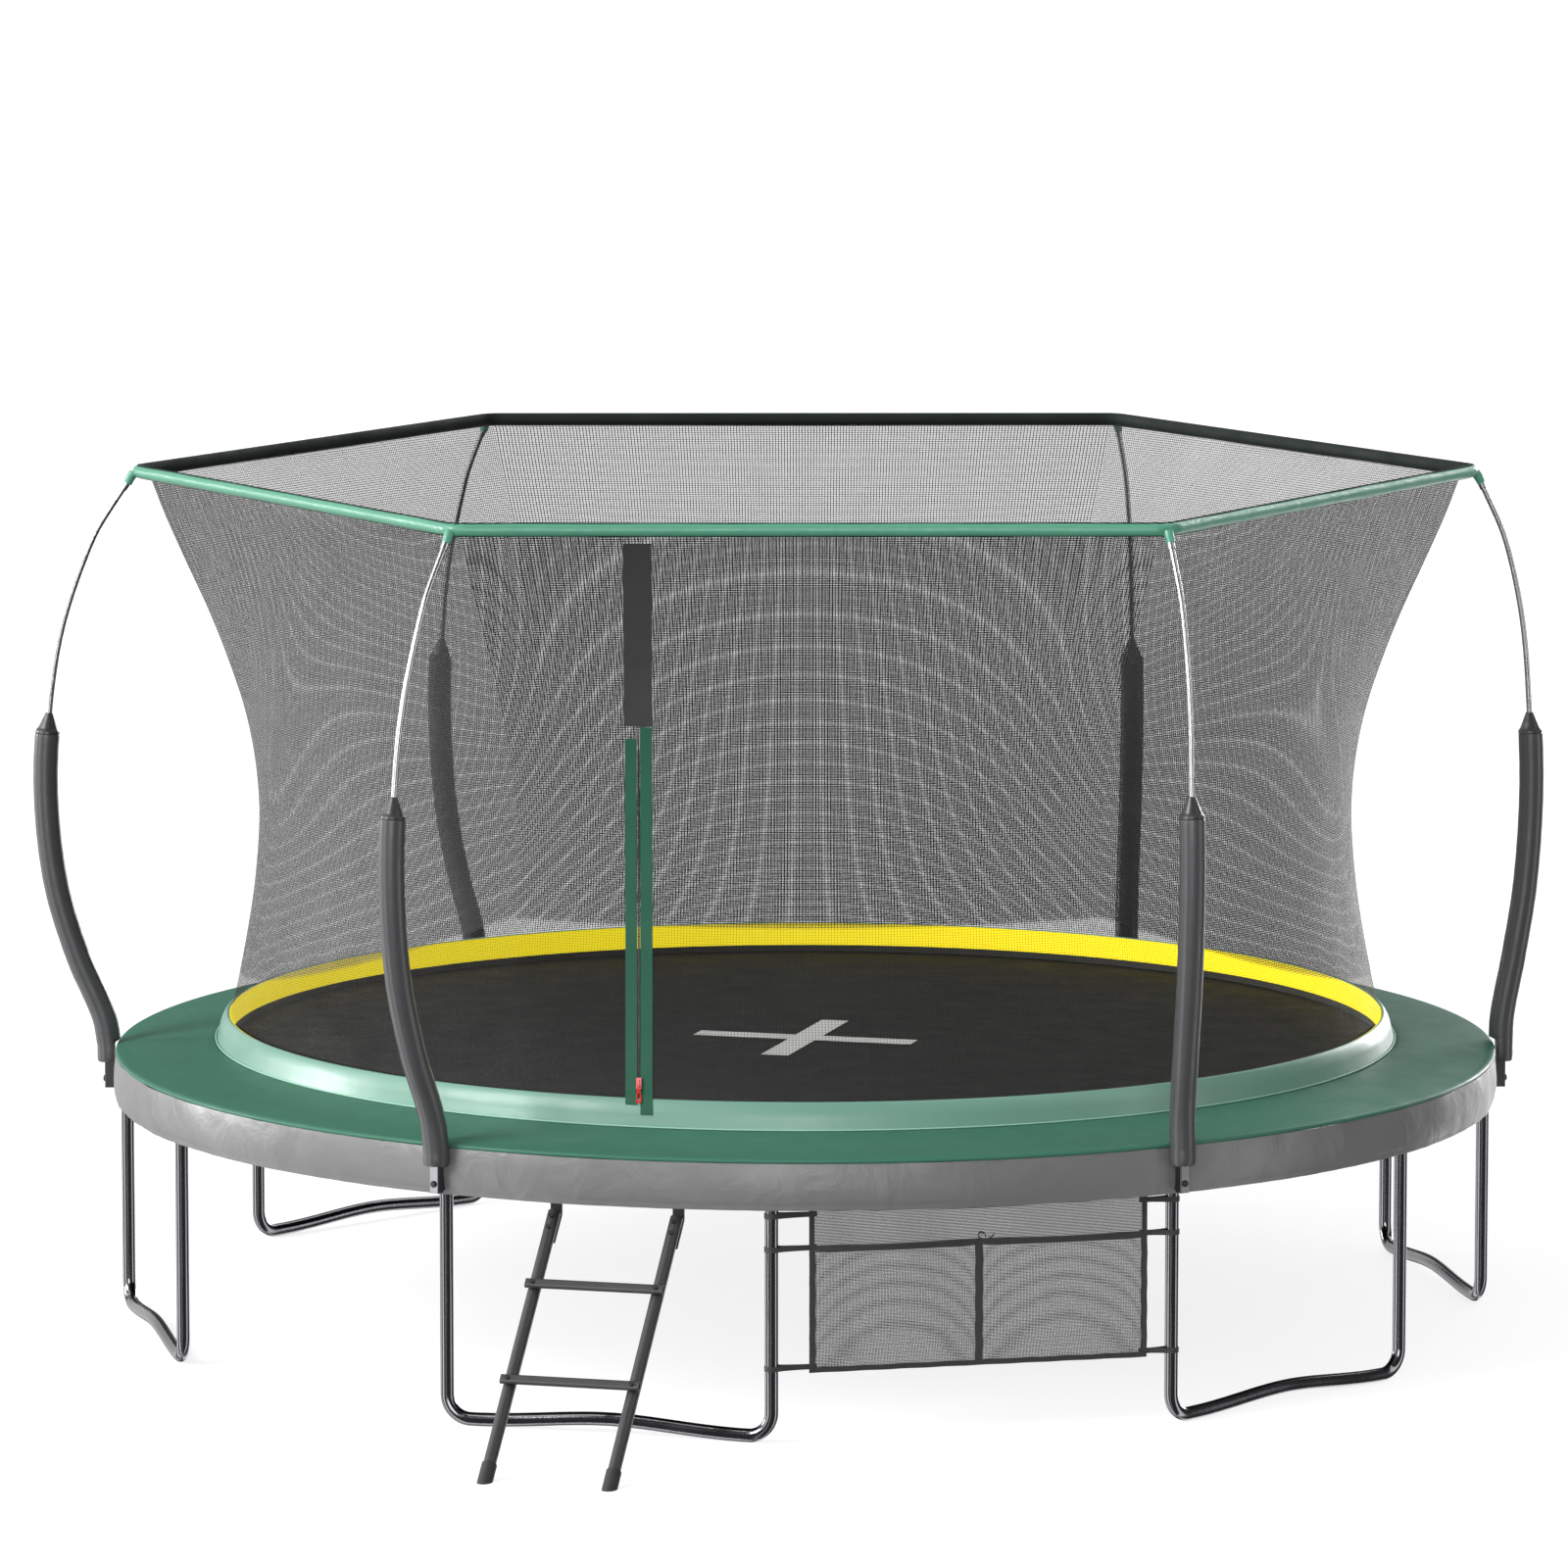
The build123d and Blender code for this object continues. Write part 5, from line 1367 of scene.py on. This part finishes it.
@dataclass
class Bag:
    """Mesh storage bag between two legs, with two pockets, tapes, straps and a tie."""

    leg_r: float = 1.810
    from_angle: float = 267.0
    to_angle: float = 300.0
    u: Tuple[float, float] = (0.095, 0.963)
    z: Tuple[float, float] = (0.175, 0.640)
    pocket_z: float = 0.490
    bulge: float = 0.022
    strap_z: Tuple[float, ...] = (0.189, 0.488, 0.572)
    tube_r: float = 0.017

    def __post_init__(self) -> None:
        """Work out the bag's own axes."""
        a, b = polar(self.leg_r, self.from_angle, 0), polar(self.leg_r, self.to_angle, 0)
        self.origin, self.span = a, (b - a).length
        self.along = (b - a).normalized()
        self.out = self.along.cross(Vector((0, 0, 1)))

    def at(self, u: float, z: float, n: float) -> Vector:
        """Point at a place along the bag, a height and a distance outwards."""
        return self.origin + self.along * u + self.out * n + Vector((0, 0, z))

    def finish(self, obj: bpy.types.Object, cut: Cut, slot: str, nodes: Sequence[str], thick: float,
               held: str, rests: Sequence[str], own: str = "") -> None:
        """Args:
            obj: the piece.
            cut: its flat size; not used.
            slot: the record's material slot.
            nodes: the solids it stands for.
            thick: thickness to add, or zero.
            held: how it is held; not used.
            rests: the pieces that hold it; not used.
            own: a finish of its own.
        """
        if thick:
            modifier(obj, "SOLIDIFY", thickness=thick, offset=0.0)
            outwards(obj)
            soften(obj)
        seat(obj, slot, "root", nodes, own)

    def tape(self, name: str, points: Sequence[Vector], width: float, up: Vector, nodes: Sequence[str] = (),
             thick: float = 0.0014) -> None:
        """Tape of a width laid along points."""
        rows = [[p + up * (width * s) for p in points] for s in (-0.5, -0.25, 0.0, 0.25, 0.5)]
        obj, cut = grid(name, rows)
        self.finish(obj, cut, "web_black", nodes, thick, "stretched", ["bag_back"])

    def build(self) -> None:
        """Build the back, pockets, tapes, straps and tie."""
        up, side = Vector((0, 0, 1)), self.along
        left, right = self.u
        low, top = self.z
        middle = (left + right) / 2
        rows = [[self.at(u, z, 0.0003 * math.sin(u * 40) + 0.0003 * math.sin(z * 50))
                 for u in steps(left, right, 40)]
                for z in steps(low, top, 24)]
        back, cut = grid("bag_back", rows)
        self.finish(back, cut, "bag_mesh", ["bag_back_mesh"], 0.0, "stretched",
                    [f"bag_strap_{k + 1}" for k in range(2 * len(self.strap_z))])
        pairs = [(left + 0.0164, middle - 0.0104), (middle + 0.0104, right - 0.0164)]
        for k, (u0, u1) in enumerate(pairs):
            rows = []
            for z in steps(low + 0.012, self.pocket_z, 20):
                share = (z - low - 0.012) / (self.pocket_z - low - 0.012)
                row = []
                for u in steps(u0, u1, 28):
                    s = (u - u0) / (u1 - u0)
                    puff = math.sin(math.pi * s) ** 0.7 if 0 < s < 1 else 0.0
                    sag = 0.80 + 0.20 * math.sin(math.pi * min(1.0, (1 - share) * 1.1)) - 0.06 * share
                    swell = (self.bulge - 0.001) * puff * sag * min(1, 0.55 + share * 2)
                    row.append(self.at(u, z, 0.0022 + swell))
                rows.append(row)
            pocket, cut = grid(f"bag_pocket_{k + 1}", rows)
            self.finish(pocket, cut, "bag_mesh", ["bag_pockets"] if k == 0 else [], 0.0, "hung", ["bag_back"],
                        "pocket_mesh")
        rim_z = self.pocket_z - 0.005
        for k, (u0, u1) in enumerate(pairs):
            line = []
            for u in steps(u0, u1, 28):
                s = (u - u0) / (u1 - u0)
                puff = math.sin(math.pi * s) ** 0.7 if 0 < s < 1 else 0.0
                line.append(self.at(u, rim_z, 0.0034 + (self.bulge - 0.001) * puff * 0.74))
            self.tape(f"bag_pocket_rim_{k + 1}", line, 0.017, up, ["bag_binding"] if k == 0 else [])
        for name, u in (("left", left + 0.008), ("right", right - 0.008), ("middle", middle)):
            width = 0.020 if name == "middle" else 0.016
            line = [self.at(u + 0.0006 * math.sin(z * 90), z, 0.0042)
                    for z in steps(low + 0.012, self.pocket_z + 0.004, 16)]
            self.tape(f"bag_tape_{name}", line, width, side)
        for name, u in (("left", left + 0.007), ("right", right - 0.007)):
            line = [self.at(u, z, 0.0018) for z in steps(self.pocket_z + 0.004, top - 0.014, 8)]
            self.tape(f"bag_side_{name}", line, 0.014, side)
        for name, z in (("bottom", low + 0.005), ("top", top - 0.007)):
            line = [self.at(u, z + 0.0004 * math.sin(u * 60), 0.0022) for u in steps(left, right, 48)]
            self.tape(f"bag_tape_{name}", line, 0.0135, up)
        self.straps(up)
        self.tie()

    def straps(self, up: Vector) -> None:
        """Straps that loop round the two legs, each a belt of its own."""
        count = 0
        for z in self.strap_z:
            for end in (0, 1):
                centre_u, way = (0.0, 1.0) if end == 0 else (self.span, -1.0)
                radius = self.tube_r + 0.0012
                ring = [self.at(centre_u + way * radius * math.cos(math.radians(t)), z,
                                radius * math.sin(math.radians(t))) for t in steps(62, 298, 24)]
                reach = self.u[0] + 0.02 if end == 0 else self.span - self.u[1] + 0.02
                tab_out = [self.at(centre_u + way * u, z, n) for u, n in ((reach, 0.0012), (reach * 0.6, 0.0030),
                                                                          (0.030, 0.0085))]
                tab_in = [self.at(centre_u + way * u, z, n) for u, n in ((0.030, -0.0085), (reach * 0.6, -0.0030),
                                                                         (reach, -0.0016))]
                line = tab_out + ring + tab_in
                rows = [[p + up * (0.013 * s) for p in line] for s in (-0.5, 0.0, 0.5)]
                count += 1
                belt, cut = grid(f"bag_strap_{count}", rows)
                nodes = ["bag_straps"] if count == 1 else []
                leg = "leg_u_5" if end == 0 else "leg_u_6"
                self.finish(belt, cut, "web_black", nodes, 0.0012, "stretched", [leg])

    def tie(self) -> None:
        """Small knotted tie over the middle tape: two loose ends of cord tape."""
        middle = (self.u[0] + self.u[1]) / 2
        line = []
        for t in steps(0, 1, 22):
            turn = 2 * math.pi * t * 1.1
            line.append(self.at(middle + 0.014 * math.cos(turn) + 0.024 * t, self.pocket_z + 0.008
                                + 0.010 * math.sin(turn) + 0.004 * t, 0.0085 + 0.0035 * math.sin(turn * 2)))
        rows = [[p + Vector((0, 0, 1)) * 0.0045 * s for p in line] for s in (-0.5, 0.0, 0.5)]
        obj, _ = grid("bag_tie_ends", rows)
        modifier(obj, "SOLIDIFY", thickness=0.0014, offset=0.0)
        outwards(obj)
        soften(obj)
        seat(obj, "web_black", "root", ["bag_tie"])


@dataclass
class Studio:
    """Pale floor, soft light and the camera."""

    lens: float = 200.99
    place: Tuple[float, float, float] = (-0.150, -23.076, 4.443)
    tilt: float = 7.4915
    pan: float = 0.231
    sky: float = 0.60
    floor_glow: float = 0.80
    floor_dim: float = 0.15
    card_base: float = 0.10
    card_list: Tuple[Tuple[float, float, float], ...] = (
        (205, 12, 3.4), (344, 12, 2.4), (158, 16, 2.4), (62, 20, 2.0), (118, 16, 0.8), (250, 6, 1.0))

    def floor(self) -> None:
        """Very wide pale floor with its own faint glow, so that it stays light under the frame."""
        deselect()
        bpy.ops.mesh.primitive_grid_add(x_subdivisions=4, y_subdivisions=4, size=900.0)
        floor = bpy.context.active_object
        floor.name = "studio_floor"
        floor.location.z = -0.0005
        made = bpy.data.materials.new("matt_paper_floor")
        made.use_nodes = True
        tree = made.node_tree
        tree.nodes.clear()
        cloud = add(tree, "ShaderNodeTexNoise", {"Scale": 0.2, "Detail": 1.0},
                    {"Vector": add(tree, "ShaderNodeTexCoord").outputs["Object"]})
        mix = add(tree, "ShaderNodeMix",
                  {"data_type": "RGBA", 6: (0.30, 0.30, 0.30, 1), 7: (0.32, 0.32, 0.32, 1)}, {0: cloud.outputs["Fac"]})
        seen = add(tree, "ShaderNodeLightPath")
        glow = add(tree, "ShaderNodeMapRange", {"To Min": self.floor_dim, "To Max": self.floor_glow},
                   {"Value": seen.outputs["Is Camera Ray"]})
        shader = add(tree, "ShaderNodeBsdfPrincipled", {
            "Roughness": 1.0, "Specular IOR Level": 0.0, "Emission Color": (1, 1, 1, 1)},
            {"Base Color": mix.outputs[2], "Emission Strength": glow.outputs[0]})
        add(tree, "ShaderNodeOutputMaterial", links={"Surface": shader.outputs[0]})
        floor.data.materials.append(made)
        floor.visible_glossy = False

    def cards(self, tree: bpy.types.NodeTree) -> bpy.types.NodeSocket:
        """Tall reflector cards that only shiny surfaces see.

        Args:
            tree: the world's node tree.
        Returns:
            Their brightness by direction.
        """
        way = add(tree, "ShaderNodeSeparateXYZ", links={0: add(tree, "ShaderNodeTexCoord").outputs["Generated"]})
        turn = add(tree, "ShaderNodeMath", {"operation": "ARCTAN2"}, {0: way.outputs[1], 1: way.outputs[0]})
        total = add(tree, "ShaderNodeValue").outputs[0]
        total.default_value = self.card_base
        for azimuth, half, level in self.card_list:
            off = add(tree, "ShaderNodeMath",
                      {"operation": "SUBTRACT", 1: math.radians((azimuth + 180) % 360 - 180)}, {0: turn.outputs[0]})
            wrapped = add(tree, "ShaderNodeMath", {"operation": "WRAP", 1: math.pi, 2: -math.pi},
                          {0: off.outputs[0]})
            away = add(tree, "ShaderNodeMath", {"operation": "ABSOLUTE"}, {0: wrapped.outputs[0]})
            card = add(tree, "ShaderNodeMapRange", {
                "interpolation_type": "SMOOTHSTEP", "From Min": math.radians(half * 0.6),
                "From Max": math.radians(half * 1.2), "To Min": level, "To Max": 0.0}, {"Value": away.outputs[0]})
            total = add(tree, "ShaderNodeMath", {"operation": "ADD"}, {0: total, 1: card.outputs[0]}).outputs[0]
        return total

    def light(self, name: str, strength: float, azimuth: float, height: float, spread: float) -> None:
        """Distant soft light.

        Args:
            name: its name.
            strength: its strength in watts per square metre.
            azimuth: where it comes from, in degrees round the axis.
            height: how high it stands, in degrees.
            spread: its apparent size in degrees.
        """
        data = bpy.data.lights.new(name, "SUN")
        data.energy, data.angle = strength, math.radians(spread)
        obj = bpy.data.objects.new(name, data)
        obj.rotation_euler = (math.radians(90 - height), 0, math.radians(azimuth - 270))
        bpy.context.scene.collection.objects.link(obj)

    def build(self) -> None:
        """Build the floor, world, lights and camera."""
        self.floor()
        world = bpy.data.worlds.new("pale_studio")
        bpy.context.scene.world = world
        world.use_nodes = True
        tree = world.node_tree
        tree.nodes.clear()
        seen = add(tree, "ShaderNodeLightPath")
        cards = self.cards(tree)
        shiny = add(tree, "ShaderNodeMix", {"data_type": "FLOAT", 2: self.sky},
                    {0: seen.outputs["Is Glossy Ray"], 3: cards})
        strength = add(tree, "ShaderNodeMix", {"data_type": "FLOAT", 3: 1.2},
                       {0: seen.outputs["Is Camera Ray"], 2: shiny.outputs[0]})
        sky = add(tree, "ShaderNodeBackground", {"Color": (1, 1, 1, 1)}, {"Strength": strength.outputs[0]})
        add(tree, "ShaderNodeOutputWorld", links={"Surface": sky.outputs[0]})
        self.light("key_front_left", 3.4, 208, 30, 30)
        self.light("fill_front", 1.2, 265, 9, 30)
        self.light("rim_left", 1.6, 160, 10, 18)
        self.light("rim_right", 1.3, 60, 9, 18)
        camera = bpy.data.cameras.new("camera")
        camera.sensor_width, camera.lens = 36.0, self.lens
        camera.clip_start, camera.clip_end = 0.1, 2000.0
        eye = bpy.data.objects.new("camera", camera)
        eye.location = self.place
        eye.rotation_euler = (math.radians(90 - self.tilt), 0, math.radians(-self.pan))
        bpy.context.scene.collection.objects.link(eye)
        bpy.context.scene.camera = eye
        bpy.context.scene.view_settings.view_transform = "Standard"


def main() -> None:
    """Build everything in order."""
    logging.basicConfig(level=logging.INFO, format="%(message)s")
    for part in (HardParts(), Net(), Door(), TopRing(), Rim(), JumpMat(), Poles(), Bag(), Studio()):
        part.build()
    deselect()


if __name__ == "__main__":
    main()
